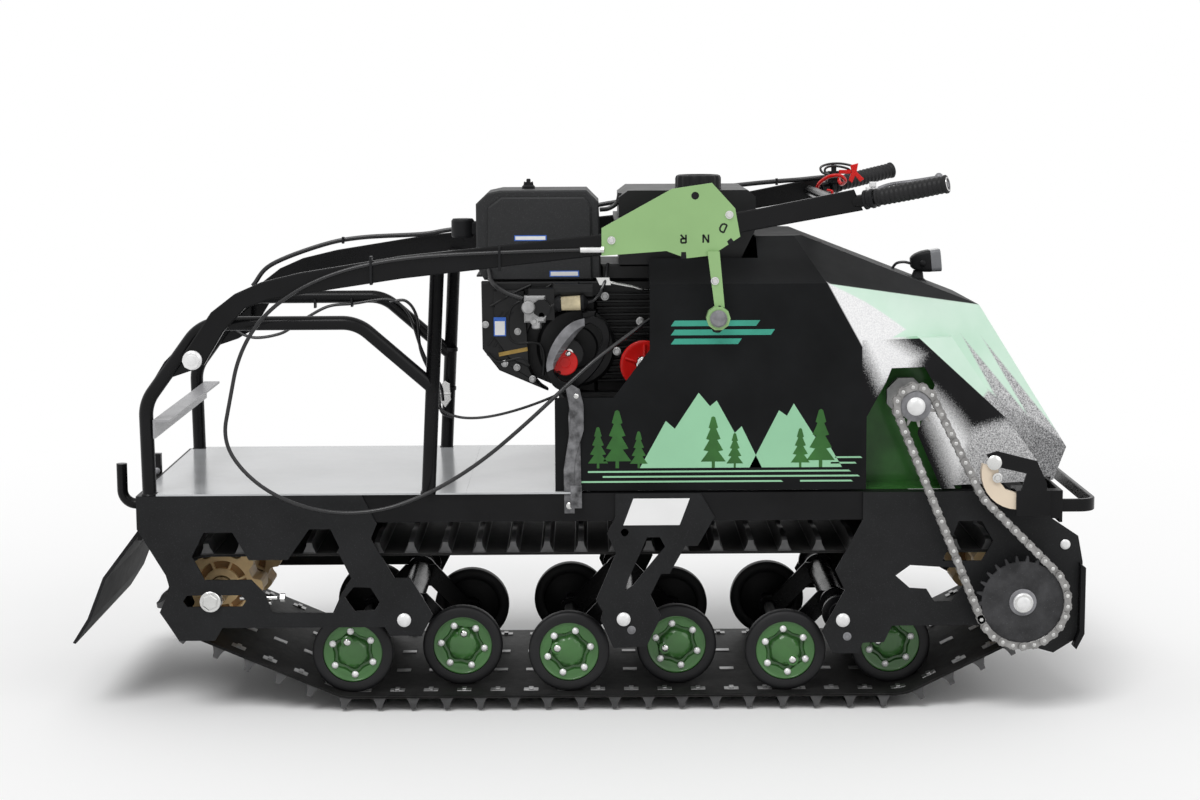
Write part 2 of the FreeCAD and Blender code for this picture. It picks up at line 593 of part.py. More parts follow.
def chainwheel(cx, cz, radius, teeth, bore, far_side):
    """A toothed plate, phased so that a valley takes the chain pin on its far side (-1 below, 1 above)."""
    seated = min(chain_pins, key=lambda pin: math.dist(pin[:2], (cx, cz + far_side * radius)))
    phase = math.atan2(seated[1] - cz, seated[0] - cx)
    step = 2 * math.pi / teeth
    points = []
    for i in range(teeth):
        for turn, r in ((-5.8 / radius, radius - 6.4), (5.8 / radius, radius - 6.4),
                        (step - 0.5 * step - 1.4 / radius, radius + 3.6), (0.5 * step + 1.4 / radius, radius + 3.6)):
            angle = phase + i * step + turn
            points.append((cx + r * math.cos(angle), cz + r * math.sin(angle)))
    return prism(points, CHAIN_Y - 3, CHAIN_Y + 3).cut(bar(cx, CHAIN_Y - 9, CHAIN_Y + 9, cz, bore + 0.3))


JACK_R = dim("jack_radius")
feature("drive_chain", chain_solid())
feature("chainwheel_large", chainwheel(AXLE_X, AXLE_Z, BIG_R, int(dim("big_teeth")), AXLE_BORE - 0.5, -1))
feature("chainwheel_small", chainwheel(JACK_X, JACK_Z, SMALL_R, int(dim("small_teeth")), JACK_R, 1))
WEB_OUT, WEB_IN = -180, -174
feature("jackshaft", bar(JACK_X, CHAIN_Y - 12, WEB_IN + 54, JACK_Z, JACK_R))
flange = prism(regular(JACK_X, JACK_Z, 36, 8, math.pi / 8), WEB_OUT - 12, WEB_OUT - FIT)
feature("jackshaft_bearing", flange.cut(bar(JACK_X, WEB_OUT - 20, WEB_IN, JACK_Z, JACK_R + 0.3)))
web = box(JACK_X - 85, JACK_X + 95, WEB_OUT, WEB_IN, RAIL_TOP + 3.8, JACK_Z + 78)
web = web.cut(bar(JACK_X, WEB_OUT - 9, WEB_IN + 9, JACK_Z, JACK_R + 0.3))
web = web.fuse(box(JACK_X - 85, JACK_X + 95, -RAIL_IN + 0.3, WEB_IN, DECK_LOW, RAIL_TOP + 4))
feature("jackshaft_plate", web.removeSplitter())


def guide_shoe():
    """A quarter ring of low-friction plastic that the chain runs over."""
    turns = [math.radians(165 + 105 * k / 9) for k in range(10)]
    rim = [(GUIDE_X + GUIDE_R * math.cos(t), GUIDE_Z + GUIDE_R * math.sin(t)) for t in turns]
    bore = [(GUIDE_X + (GUIDE_R - 28) * math.cos(t), GUIDE_Z + (GUIDE_R - 28) * math.sin(t)) for t in turns[::3]]
    return prism(rim + bore[::-1], CHAIN_Y - CHAIN_HALF, CHAIN_Y + CHAIN_HALF)


feature("tensioner_shoe", guide_shoe())
stand_y = CHAIN_Y - CHAIN_HALF - FIT
bracket = box(GUIDE_X - 3, GUIDE_X + 56, stand_y - 4, -PLATE_OUT - FIT, GUIDE_Z - 75, GUIDE_Z - 30)
bracket = bracket.cut(box(GUIDE_X - 9, GUIDE_X + 52, stand_y, -PLATE_OUT - 5, GUIDE_Z - 80, GUIDE_Z - 34))
blade = prism(near((GUIDE_X, GUIDE_Z), [(-57, 34), (-38, 40), (32, 22), (50, -18), (50, -32), (4, -32), (14, 0),
                                        (-45, 14)]), stand_y - 4, stand_y)
feature("tensioner_bracket", bracket.fuse(blade).removeSplitter())


# ------------------------------------------------------------------ engine
ENG_TOP = dim("engine_top")
MOUNT_TOP = DECK_TOP + 24.5
DRIVER_X, DRIVER_Z = -80, ENG_TOP - 128
DRIVEN_X, DRIVEN_Z = 56, ENG_TOP - 148
CASE_LOW = ENG_TOP - 210
TANK_LOW = ENG_TOP + dim("tank_lift")
ENGINE_BACK = -236
SUMP_BACK = -96
COWL_Y = -150


def engine_block():
    """Crankcase and recoil cowl at the rear, finned cylinder ahead of it and a sump below."""
    case = box(ENGINE_BACK + 12, -30, COWL_Y + 22, 150, CASE_LOW, ENG_TOP)
    case = case.fuse(box(SUMP_BACK, 240, COWL_Y, 150, MOUNT_TOP + FIT, CASE_LOW))
    head = box(-31, 230, -118, 90, CASE_LOW, ENG_TOP - 1)
    for z in [CASE_LOW + 22 + 24 * k for k in range(8)]:
        head = head.fuse(box(-30, 236, -130, 100, z, z + 9))
    block = case.fuse(head)
    block = block.fuse(bar(DRIVER_X, -188.5, -120, DRIVER_Z, 9, 10))
    block = block.fuse(bar(DRIVEN_X, -188.5, -100, DRIVEN_Z, 14, 10))
    block = block.fuse(box(70, 200, -128, 90, ENG_TOP - 2, TANK_LOW - 0.3))
    return block.removeSplitter()


feature("engine", engine_block())
shroud = prism([(ENGINE_BACK, ENG_TOP - 1), (ENGINE_BACK + 1, ENG_TOP - 122), (-205, ENG_TOP - 161),
                (-119, ENG_TOP - 198), (-60, ENG_TOP - 198), (-60, ENG_TOP - 1)], COWL_Y - 10, COWL_Y + 21.7)
shroud = shroud.cut(bar(DRIVER_X + 15, -300, -100, DRIVER_Z + 6, 92, 24))
shroud = shroud.fuse(prism([(-214, ENG_TOP - 16), (-213, ENG_TOP - 102), (-188, ENG_TOP - 138), (-150, ENG_TOP - 156),
                            (-158, ENG_TOP - 16)], COWL_Y - 16, COWL_Y - 9))
GUARD_X, GUARD_Z = -44, ENG_TOP - 101


def oval(wide, tall):
    """A long-sided ring outline round the belt guard's centre."""
    return near((GUARD_X, GUARD_Z), [(-0.62 * wide, tall), (0.62 * wide, tall), (0.94 * wide, 0.66 * tall), (wide, 0),
                                     (0.94 * wide, -0.66 * tall), (0.62 * wide, -tall), (-0.62 * wide, -tall),
                                     (-0.94 * wide, -0.66 * tall), (-wide, 0), (-0.94 * wide, 0.66 * tall)])


guard = prism(oval(55, 67), -214, -190).cut(prism(oval(44, 56), -220, -180))
guard = guard.fuse(box(-32, -18, -196, COWL_Y - 9, GUARD_Z + 58, ENG_TOP - 6))
guard = guard.fuse(box(-61, -16, COWL_Y - 10, COWL_Y + 19, GUARD_Z + 73, ENG_TOP - 1))
feature("engine_shroud", shroud.fuse(guard).removeSplitter())
pulleys = []
for cx, cz, radius, bore in ((DRIVER_X, DRIVER_Z, 27, 9.3), (DRIVEN_X, DRIVEN_Z, 44, 14.3)):
    wheel = prism(regular(cx, cz, radius, 14), -172, -164).fuse(prism(regular(cx, cz, radius, 14), -188, -180))
    wheel = wheel.fuse(prism(regular(cx, cz, 0.7 * radius, 10), -181, -171))
    pulleys.append(wheel.cut(bar(cx, -230, -150, cz, bore, 10)).removeSplitter())
feature("belt_pulleys", Part.makeCompound(pulleys))
mount = box(dim("platform_front") + FIT, 300, -RAIL_IN + 0.3, RAIL_IN - 0.3, RAIL_TOP + FIT, MOUNT_TOP)
mount = mount.fuse(box(SUMP_BACK - 4, -50, -200, 200, DECK_TOP + FIT, MOUNT_TOP))
feature("engine_mount", mount.removeSplitter())

LID = ENG_TOP + dim("cleaner_height")
cleaner = prism([(-246, ENG_TOP + 2), (-246, LID - 32), (-214, LID), (-52, LID), (-22, LID - 29), (-22, ENG_TOP + 2)],
                COWL_Y, 20)
cleaner = cleaner.fuse(prism([(-240, ENG_TOP + 0.2), (-240, ENG_TOP + 3), (-30, ENG_TOP + 3), (-30, ENG_TOP + 0.2)],
                             COWL_Y + 8, 12))
cleaner = cleaner.fuse(prism([(-246, ENG_TOP + 25), (-255, ENG_TOP + 25), (-255, LID - 54), (-246, LID - 54)],
                             COWL_Y + 14, 6))
knob = [Vector(-156 + 14 * math.cos(k * math.pi / 5), -60 + 14 * math.sin(k * math.pi / 5), LID - 1) for k in range(10)]
cleaner = cleaner.fuse(Part.Face(Part.makePolygon(knob + knob[:1])).extrude(Vector(0, 0, 17)))
feature("air_cleaner", cleaner.removeSplitter())
carb = box(-150, -104, COWL_Y - 52, COWL_Y - 16.3, ENG_TOP - 66, ENG_TOP - 10)
carb = carb.fuse(box(-166, -128, COWL_Y - 44, COWL_Y - 20, ENG_TOP - 54, ENG_TOP - 28))
carb = carb.fuse(prism(regular(-127, ENG_TOP - 44, 16, 10), COWL_Y - 62, COWL_Y - 30))
carb = carb.fuse(strut(Vector(-106, COWL_Y - 36, ENG_TOP - 16), Vector(70, 0, 0), 14, 10))
carb = carb.fuse(box(-147, -104, COWL_Y - 30, COWL_Y - 10.2, ENG_TOP - 26, ENG_TOP - 12))
feature("carburettor", carb.removeSplitter())

TANK = TANK_LOW + dim("tank_height")
tank = prism([(12, TANK_LOW), (12, TANK - 12), (28, TANK), (242, TANK), (256, TANK - 12), (256, TANK - 70),
              (225, TANK_LOW)], -170, 130)
tank = tank.fuse(prism([(4, TANK - 60), (4, TANK - 52), (262, TANK - 52), (262, TANK - 60)], -176, 136))
feature("fuel_tank", tank.removeSplitter())
cap = [Vector(156 + 43 * math.cos(k * math.pi / 10), -110 + 43 * math.sin(k * math.pi / 10), TANK + 0.3) for k in range(20)]
cap_solid = Part.Face(Part.makePolygon(cap + cap[:1])).extrude(Vector(0, 0, 26))
feature("fuel_cap", cap_solid)


# ------------------------------------------------------------------ hood
RIDGE = dim("hood_ridge")
HOOD_BACK = -104
HOOD_FRONT = dim("hood_front")
HOOD_LOW = DECK_TOP + 0.4
CREASE_Z = 772
SHOULDER = (377, 771)
PRESS = 0.55
OUTER = [(HOOD_BACK, HOOD_LOW), (HOOD_BACK, 572), (0, 572), (64, 657), (64, RIDGE - 24), (235, RIDGE - 1), (341, RIDGE),
         (661, 723), (HOOD_FRONT, 462), (HOOD_FRONT - 28, HOOD_LOW)]


def beyond(point, normal, depth=900):
    """A large block on the far side of a slanting plane."""
    turn = Rotation(Vector(0, 0, 1), Vector(*normal))
    block = Part.makeBox(2 * depth, 2 * depth, depth, Vector(-depth, -depth, 0))
    block.Placement = Placement(Vector(*point), turn)
    return block


def inset(points, depth):
    """The outline with each side moved inwards by the depth."""
    count = len(points)
    area = sum(points[i][0] * points[(i + 1) % count][1] - points[(i + 1) % count][0] * points[i][1] for i in range(count))
    sign = 1 if area > 0 else -1
    lines = []
    for i in range(count):
        (x0, z0), (x1, z1) = points[i], points[(i + 1) % count]
        length = math.hypot(x1 - x0, z1 - z0)
        nx, nz = -sign * (z1 - z0) / length, sign * (x1 - x0) / length
        lines.append((nx, nz, nx * x0 + nz * z0 + depth))
    corners = []
    for i in range(count):
        (a, b, c), (d, e, f) = lines[i - 1], lines[i]
        det = a * e - b * d
        corners.append(((c * e - b * f) / det, (a * f - c * d) / det))
    return corners


def unit(x, y, z):
    length = math.sqrt(x * x + y * y + z * z)
    return Vector(x / length, y / length, z / length)


def hood_form(depth, pressed=False):
    """The faceted hood moved inwards by a depth; the pressed form keeps its flank further out."""
    half = HOOD_HALF - depth
    body = prism(inset(OUTER, depth) if depth else OUTER, -half, half)
    for side in (-1, 1):
        facets = [((0, side * HOOD_HALF, CREASE_Z), unit(0, side * 0.551, 0.834)),
                  ((SHOULDER[0], side * HOOD_HALF, SHOULDER[1]), unit(0.313, side * 0.430, 0.847))]
        flank = unit(0.380, side * 0.897, 0.225)
        if pressed and side < 0:
            flank = unit(PRESS * 0.380, -0.897, PRESS * 0.225)
        facets.append(((SHOULDER[0], side * HOOD_HALF, SHOULDER[1]), flank))
        for point, normal in facets:
            at = Vector(*point) - normal * depth
            body = body.cut(beyond(at, normal))
    return body


BULGE = [(440, 672), (602, 672), (703, 524), (714, 512), (760, 470), (770, HOOD_LOW - 5), (400, HOOD_LOW - 5), (400, 600)]
WINDOW = [(481, 598), (491, 621), (551, 621), (570, 588), (537, 505), (581, 405), (581, 380), (447, 380), (447, 535)]


def hood_shell():
    """A thin skin, open below, behind and over the engine, with a pressed flank over the chain."""
    skin = dim("hood_skin")
    outer, inner = hood_form(0), hood_form(skin)
    press = prism(BULGE, -HOOD_HALF - 5, -60)
    press_in = prism(inset(BULGE, skin), -HOOD_HALF - 5, -60)
    outer = outer.fuse(hood_form(0, True).common(press))
    inner = inner.fuse(hood_form(skin, True).common(press_in))
    shell = outer.cut(inner)
    half = HOOD_HALF
    shell = shell.cut(box(HOOD_BACK - 20, 61, -half + skin + 0.5, half - skin - 0.5, 300, 900))
    shell = shell.cut(box(50, 258, -200, 200, 700, 900))
    shell = shell.cut(box(55, 70, -half + skin, half - skin, HOOD_LOW + 6, 768))
    shell = shell.cut(box(-60, HOOD_FRONT - 34, -half + skin, half - skin, 380, HOOD_LOW + 6))
    shell = shell.cut(prism(WINDOW, -300, -130))
    return shell


feature("hood_shell", hood_shell())

STRAP_Y = -HOOD_HALF - FIT
EDGE_Y = -PLATE_OUT - 0.4
strap = prism([(-76, DECK_TOP + 4), (-58, DECK_TOP + 4), (-60, 540), (-63, 565), (-77, 565), (-80, 540)], STRAP_Y - 4, STRAP_Y)
strap = strap.fuse(box(-76, -58, EDGE_Y - 4, STRAP_Y, DECK_TOP + 3, DECK_TOP + 12))
strap = strap.fuse(box(-77, -57, EDGE_Y - 4, EDGE_Y, RAIL_TOP - 25, DECK_TOP + 12))
strap = strap.fuse(box(-73, -61, EDGE_Y - 1, -RAIL_OUT - 0.1, RAIL_TOP - 22, RAIL_TOP - 10))
feature("hood_straps", mirrored_pair(strap.removeSplitter()))

# ------------------------------------------------------------------ lamp and bumper
LAMP_X, LAMP_Z = 556, 786.5


def ngon_x(x0, x1, y, z, radius, sides):
    """A regular prism along X with a flat underside."""
    corners = [Vector(x0, y + radius * math.cos(math.pi * (2 * k + 1) / sides),
                      z + radius * math.sin(math.pi * (2 * k + 1) / sides)) for k in range(sides)]
    return Part.Face(Part.makePolygon(corners + corners[:1])).extrude(Vector(x1 - x0, 0, 0))


def hood_slope(x):
    """Height of the sloping bonnet at x."""
    return RIDGE + (x - OUTER[6][0]) * (OUTER[7][1] - RIDGE) / (OUTER[7][0] - OUTER[6][0])


foot = prism([(LAMP_X + 6, hood_slope(LAMP_X + 6) + FIT), (LAMP_X + 50, hood_slope(LAMP_X + 50) + FIT),
              (LAMP_X + 50, LAMP_Z - 15), (LAMP_X + 6, LAMP_Z - 15)], -14, 14)
lamp = ngon_x(LAMP_X, LAMP_X + 10, 0, LAMP_Z, 17, 8).fuse(ngon_x(LAMP_X + 9, LAMP_X + 57, 0, LAMP_Z, 22.7, 8))
feature("headlamp", lamp.fuse(foot).removeSplitter())

BUMP_Z = RAIL_LOW + 18
bump_x = FRONT_FACE + FIT
reach, wall, tall = dim("bumper_reach"), dim("bumper_thick"), dim("bumper_height") / 2


def bumper_outline(step):
    x1, y1, cut = FRONT_FACE + reach - step, 240 - step, 25 - 0.6 * step
    x0 = bump_x if step == 0 else bump_x - 5
    return [(x0, -y1), (x1 - cut, -y1), (x1, cut - y1), (x1, y1 - cut), (x1 - cut, y1), (x0, y1)]


def upright(points, z0, z1):
    """An XY outline carried from z0 to z1."""
    corners = [Vector(x, y, z0) for x, y in points]
    return Part.Face(Part.makePolygon(corners + corners[:1])).extrude(Vector(0, 0, z1 - z0))


bumper = upright(bumper_outline(0), BUMP_Z - tall, BUMP_Z + tall).cut(
    upright(bumper_outline(wall), BUMP_Z - tall - 1, BUMP_Z + tall + 1))
feature("tow_fittings", Part.makeCompound([hitch, bumper]))

# ------------------------------------------------------------------ handlebar
arm_top = near((PIVOT_X, PIVOT_ARM_Z), [(-12, 14), (36, 84), (78, 116), (124, 136), (192, 152), (369, 180), (786, 223),
                                       (994, 260), (1153, 291)])
arm_low = near((PIVOT_X, PIVOT_ARM_Z), [(1169, 255), (994, 224), (786, 187), (369, 141), (222, 119), (138, 106),
                                       (96, 91), (57, 50), (21, -9), (-4, -12)])
arm = prism(arm_top + arm_low, -ARM_OUT, -ARM_IN)
rims = [edge for edge in arm.Edges if abs(edge.Vertexes[0].Y - edge.Vertexes[-1].Y) < 0.1]
arm = arm.makeChamfer(2.2, rims).cut(rod(PIVOT_X, -ARM_OUT - 5, -ARM_IN + 5, PIVOT_ARM_Z, 8.3))
STUB_FOOT = Vector(418, -ARM_Y + 2, 915)
STUB_RUN = Vector(1, -0.45, 0.22).normalize()
stub = strut(STUB_FOOT, STUB_RUN * 165, 11, 12)
GRIP_FOOT = STUB_FOOT + STUB_RUN * 41
cross_bar = bar(STUB_FOOT.x - 23, -ARM_Y, ARM_Y, STUB_FOOT.z - 3, 10)
frame = arm.fuse(flip(arm)).fuse(cross_bar).fuse(stub).fuse(flip(stub))
feature("handle_arms", frame.removeSplitter())
grip = strut(GRIP_FOOT, STUB_RUN * dim("grip_length"), dim("grip_radius"), 16)
grip = grip.cut(strut(STUB_FOOT, STUB_RUN * 200, 11.3, 12))
feature("handle_grips", mirrored_pair(grip))
pin_in = HOOP_Y - 3.2
pivot = rod(PIVOT_X, -ARM_OUT - 2, -ARM_IN, PIVOT_ARM_Z, 8)
pivot = pivot.fuse(prism(regular(PIVOT_X, PIVOT_ARM_Z, 15, 8), -ARM_OUT - 8, -ARM_OUT - 0.3))
pivot = pivot.fuse(prism(regular(PIVOT_X, PIVOT_ARM_Z, 12, 8), -ARM_IN + 0.3, pin_in))
feature("handle_pivots", mirrored_pair(pivot))

SELECT_Y = -ARM_OUT - 0.3
selector = prism([(-20, 873), (102, 940), (171, 950), (211, 906), (220, 857), (171, 825), (127, 820), (92, 833),
                  (-20, 825)], SELECT_Y - 4, SELECT_Y)
selector = selector.cut(bar(142, SELECT_Y - 9, SELECT_Y + 9, 928, 7, 10))
feature("selector_plate", selector)
lever = prism([(163, 832), (184, 832), (193, 735), (176, 733)], SELECT_Y - 9, SELECT_Y - 4.2)
lever = lever.fuse(prism(regular(182, 716, 21, 10), SELECT_Y - 16, SELECT_Y + 6))
feature("selector_lever", lever.removeSplitter())


def collar(side):
    """A clamp round the bar just inboard of the grip."""
    body = strut(STUB_FOOT + STUB_RUN * 19, STUB_RUN * 18, 17, 12).cut(strut(STUB_FOOT, STUB_RUN * 80, 11.3, 12))
    return body if side < 0 else flip(body)


def stub_box(x0, x1, y0, y1, z0, z1):
    """A block placed from the foot of the far handlebar stub."""
    return box(STUB_FOOT.x + x0, STUB_FOOT.x + x1, y0 - STUB_FOOT.y, y1 - STUB_FOOT.y, STUB_FOOT.z + z0, STUB_FOOT.z + z1)


lever_run = [STUB_FOOT + Vector(*step) for step in ((29, 2, 15), (52, 10, 29), (144, -14, 43))]
blade = tube(lever_run, 4, 30, 6)
tip_run = (lever_run[2] - lever_run[1]).normalize()
knob_end = strut(lever_run[2] - tip_run * 2, tip_run * 14, 7.5, 8)
brake = collar(-1).fuse(blade).fuse(knob_end).removeSplitter()
switch = collar(1).fuse(stub_box(12, 38, -20, -2, 11, 35)).fuse(stub_box(18, 30, -26, -18, 19, 47))
feature("hand_controls", Part.makeCompound([brake, switch.removeSplitter()]))

# ------------------------------------------------------------------ control cable
CABLE = dim("cable_radius")
CABLE_Y = SELECT_Y - CABLE
PARTING = (-669.041, CABLE_Y - 5, 579)
arm_route = [(-21, CABLE_Y, 836), (-122, CABLE_Y, 834.5), (-225, CABLE_Y, 831), (-322, CABLE_Y, 826.5),
             (-410, CABLE_Y, 816), (-489, CABLE_Y - 1, 796.5), (-560, CABLE_Y - 2, 763.5), (-618, CABLE_Y - 3, 715),
             (-654, CABLE_Y - 5, 651), PARTING]
loop_route = [PARTING, (-684.5, CABLE_Y - 5, 505), (-645, CABLE_Y - 5, 443), (-578, CABLE_Y - 5, 397),
              (-492, CABLE_Y - 5, 374), (-402, CABLE_Y - 5, 380), (-317, CABLE_Y - 5, 413), (-233, CABLE_Y - 4, 465),
              (-156, CABLE_Y - 2, 530), (-80, CABLE_Y + 8, 600), (-14, CABLE_Y + 30, 657), (92, -214, 724)]
feature("arm_cable", cord(arm_route, CABLE))
feature("shift_cable", cord(loop_route, CABLE))


# ------------------------------------------------------------------ checks and export
doc.recompute()
os.makedirs("parts", exist_ok=True)
bad = [obj.Name for obj in doc.Objects if "Invalid" in obj.State or "Error" in obj.State]
bad += [obj.Label for obj in NODES if obj.Shape.isNull() or not obj.Shape.isValid()]
if bad:
    raise RuntimeError("failed objects: " + ", ".join(bad))
for obj in NODES:
    obj.Shape.exportStep("parts/%s.step" % obj.Label)
print("nodes", len(NODES), "belt", round(belt_length, 1), "chain", LINKS, round(chain_length, 1), "guide", round(GUIDE_X, 1))
print("cord lengths", CORD_SIZES, "cord bends", CORD_BENDS)
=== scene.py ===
"""Looks of the tracked snow towing vehicle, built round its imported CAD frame.

Lengths inside the functions are in millimetres in the row frame (+X forward, +Y to the left, +Z up);
meshes are stored in metres.
"""

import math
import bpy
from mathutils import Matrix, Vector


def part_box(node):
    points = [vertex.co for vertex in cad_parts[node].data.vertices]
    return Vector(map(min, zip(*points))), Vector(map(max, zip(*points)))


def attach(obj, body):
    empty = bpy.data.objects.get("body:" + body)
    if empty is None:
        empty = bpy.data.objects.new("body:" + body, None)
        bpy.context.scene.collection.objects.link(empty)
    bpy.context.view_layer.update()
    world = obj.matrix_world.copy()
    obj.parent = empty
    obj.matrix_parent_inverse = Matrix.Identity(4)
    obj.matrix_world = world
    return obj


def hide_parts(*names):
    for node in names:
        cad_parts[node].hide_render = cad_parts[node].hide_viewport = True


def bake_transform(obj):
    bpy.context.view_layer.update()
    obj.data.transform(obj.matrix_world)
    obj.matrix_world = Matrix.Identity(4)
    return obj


bl_info = {
    "name": "Snow tug looks",
    "version": (1, 0, 0),
    "blender": (4, 5, 0),
    "location": "View3D > Sidebar > Snow tug",
    "description": "Dresses the packed frame of a tracked snow towing vehicle",
    "category": "Object",
}

import bmesh
import bpy
import numpy as np
from bpy.props import FloatProperty, FloatVectorProperty, IntProperty

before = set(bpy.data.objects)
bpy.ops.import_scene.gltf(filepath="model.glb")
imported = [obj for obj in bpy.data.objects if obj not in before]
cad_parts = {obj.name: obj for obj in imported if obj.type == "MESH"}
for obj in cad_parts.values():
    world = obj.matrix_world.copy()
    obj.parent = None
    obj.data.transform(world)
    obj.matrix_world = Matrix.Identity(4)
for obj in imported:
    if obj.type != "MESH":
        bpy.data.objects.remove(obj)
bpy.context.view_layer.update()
UP = np.array((0.0, 0.0, 1.0))
ACROSS = np.array((0.0, 1.0, 0.0))
RIGHT_SIDE = (0.0, -1.0, 0.0)


def corner(node, which):
    """The lowest (0) or highest (1) corner of a CAD node, in millimetres."""
    return np.array(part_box(node)[which], float) * 1000.0


# ---------------------------------------------------------------- surfaces worked out as whole arrays
def unit(vector):
    """Each vector over its own length."""
    v = np.asarray(vector, float)
    return v / np.linalg.norm(v, axis=-1, keepdims=True)


def grid(rows, caps=True, ring=False):
    """Quads between neighbouring points of a grid (row, column, xyz).

    Each row closes on itself. With ring the last row also joins the first; otherwise the end rows are capped.
    """
    r, c = rows.shape[:2]
    i = np.arange(r if ring else r - 1)[:, None]
    j = np.arange(c)[None, :]
    k, n = (j + 1) % c, (i + 1) % r
    faces = np.stack([i * c + j, i * c + k, n * c + k, n * c + j], -1).reshape(-1, 4).tolist()
    if caps and not ring:
        faces += [list(range(c))[::-1], list(range((r - 1) * c, r * c))]
    return rows.reshape(-1, 3), faces


def join(parts):
    """Several (points, faces) parts as one."""
    points, faces, start = [], [], 0
    for verts, polys in parts:
        points.append(verts)
        faces += [[index + start for index in poly] for poly in polys]
        start += len(verts)
    return np.concatenate(points), faces


def inward(p):
    """The inward normal of each side of a closed outline."""
    side = unit(np.roll(p, -1, 0) - p)
    turn = (p[:, 0] * np.roll(p[:, 1], -1) - np.roll(p[:, 0], -1) * p[:, 1]).sum()
    return np.stack([-side[:, 1], side[:, 0]], 1) * (1 if turn > 0 else -1)


def inset(points, depth):
    """Each corner of a closed outline moves inwards along its mitre, by the depth over one plus the
    cosine of the turn.
    """
    p = np.asarray(points, float)
    normal = inward(p)
    before = np.roll(normal, 1, 0)
    return p + (normal + before) / (1 + (normal * before).sum(1, keepdims=True)).clip(0.25) * depth


def slab(points, low, high, edge=0.0, axis="y"):
    """An outline carried along an axis, with its rims drawn in by the edge at both ends."""
    p = np.asarray(points, float)
    small = inset(p, edge) if edge else p
    bevelled = [(small, low), (p, low + edge), (p, high - edge), (small, high)]
    steps = bevelled if edge else [(p, low), (p, high)]
    rows = []
    for outline, along in steps:
        level = np.full(len(outline), along)
        order = {"y": (outline[:, 0], level, outline[:, 1]), "x": (level, outline[:, 0], outline[:, 1]),
            "z": (outline[:, 0], outline[:, 1], level)}[axis]
        rows.append(np.stack(order, 1))
    return grid(np.stack(rows))


def block(x0, x1, y0, y1, z0, z1, edge=1.0):
    """A slab with a rectangular outline."""
    return slab([(x0, z0), (x1, z0), (x1, z1), (x0, z1)], y0, y1, edge)


def circle(radius, sides):
    """Cosine and sine of equal steps round the origin, times the radius."""
    turn = np.arange(sides) * 2 * np.pi / sides
    return np.stack([radius * np.cos(turn), radius * np.sin(turn)], 1)


def outward(side):
    """Away from the middle plane: side is 1 on the left and -1 on the right."""
    return 0.0, float(side), 0.0


def across(axis):
    """Two directions square to an axis and to each other."""
    a = unit(axis)
    ref = UP if abs(a[2]) < 0.9 else np.array((1.0, 0.0, 0.0))
    u = unit(np.cross(ref, a))
    return u, np.cross(a, u)


def turned(profile, origin, axis=RIGHT_SIDE, sides=24, phase=0.0):
    """A half section (along, radius) turned about an axis: origin + along x axis + radius x (cos u + sin v)."""
    prof = np.asarray(profile, float)
    u, v = across(axis)
    t = phase + np.arange(sides) * 2 * np.pi / sides
    ring = np.cos(t)[:, None] * u + np.sin(t)[:, None] * v
    rows = np.asarray(origin, float) + prof[:, 0, None, None] * unit(axis) + prof[:, 1, None, None] * ring
    return grid(rows)


def carried(section, path, ring=False):
    """A closed section (side, rise) carried along a path: point + side x (tangent x Y) + rise x their product.

    Where the path runs along Y, its cross with X stands in.
    """
    p = np.asarray(path, float)
    if ring:
        along = np.roll(p, -1, 0) - np.roll(p, 1, 0)
    else:
        along = np.gradient(p, axis=0)
    t = unit(along)
    s = np.cross(t, ACROSS)
    s = unit(np.where(np.linalg.norm(s, axis=1, keepdims=True) < 0.01, np.cross(t, (1.0, 0.0, 0.0)), s))
    r = np.cross(s, t)
    section = np.asarray(section, float)
    rows = p[:, None] + section[None, :, 0, None] * s[:, None] + section[None, :, 1, None] * r[:, None]
    return grid(rows, ring=ring)


def rounded(points, bend, steps=7):
    """Straight runs whose corners become arcs tangent to both runs."""
    p = np.asarray(points, float)
    out = [p[:1]]
    for q in range(1, len(p) - 1):
        u, v = unit(p[q - 1] - p[q]), unit(p[q + 1] - p[q])
        half = math.acos(float(np.clip(u @ v, -1, 1))) / 2
        back = min(bend / math.tan(half), 0.48 * np.linalg.norm(p[q - 1] - p[q]),
            0.48 * np.linalg.norm(p[q + 1] - p[q]))
        radius = back * math.tan(half)
        middle = p[q] + unit(u + v) * radius / math.sin(half)
        a, b = p[q] + u * back - middle, p[q] + v * back - middle
        share = np.linspace(0, 1, steps)[:, None]
        swing = math.pi - 2 * half
        out.append(middle + (np.sin((1 - share) * swing) * a + np.sin(share * swing) * b) / math.sin(swing))
    out.append(p[-1:])
    return np.concatenate(out)


def smooth(points, steps=8):
    """A soft curve through points: each piece is the cubic whose end slopes are half the step between
    its neighbours.
    """
    p = np.asarray(points, float)
    ext = np.concatenate([2 * p[:1] - p[1:2], p, 2 * p[-1:] - p[-2:-1]])
    a, b, c, d = ext[:-3, None], ext[1:-2, None], ext[2:-1, None], ext[3:, None]
    t = np.linspace(0, 1, steps, endpoint=False)[None, :, None]
    run = 0.5 * (2 * b + (c - a) * t + (2 * a - 5 * b + 4 * c - d) * t ** 2 + (3 * b - 3 * c + d - a)
        * t ** 3)
    return np.concatenate([run.reshape(-1, p.shape[1]), p[-1:]])


def wire(points, radius, sides=8, bend=None, steps=7):
    """A round bar or wire along a path."""
    path = rounded(points, bend, steps) if bend else smooth(points)
    return carried(circle(radius, sides), path)


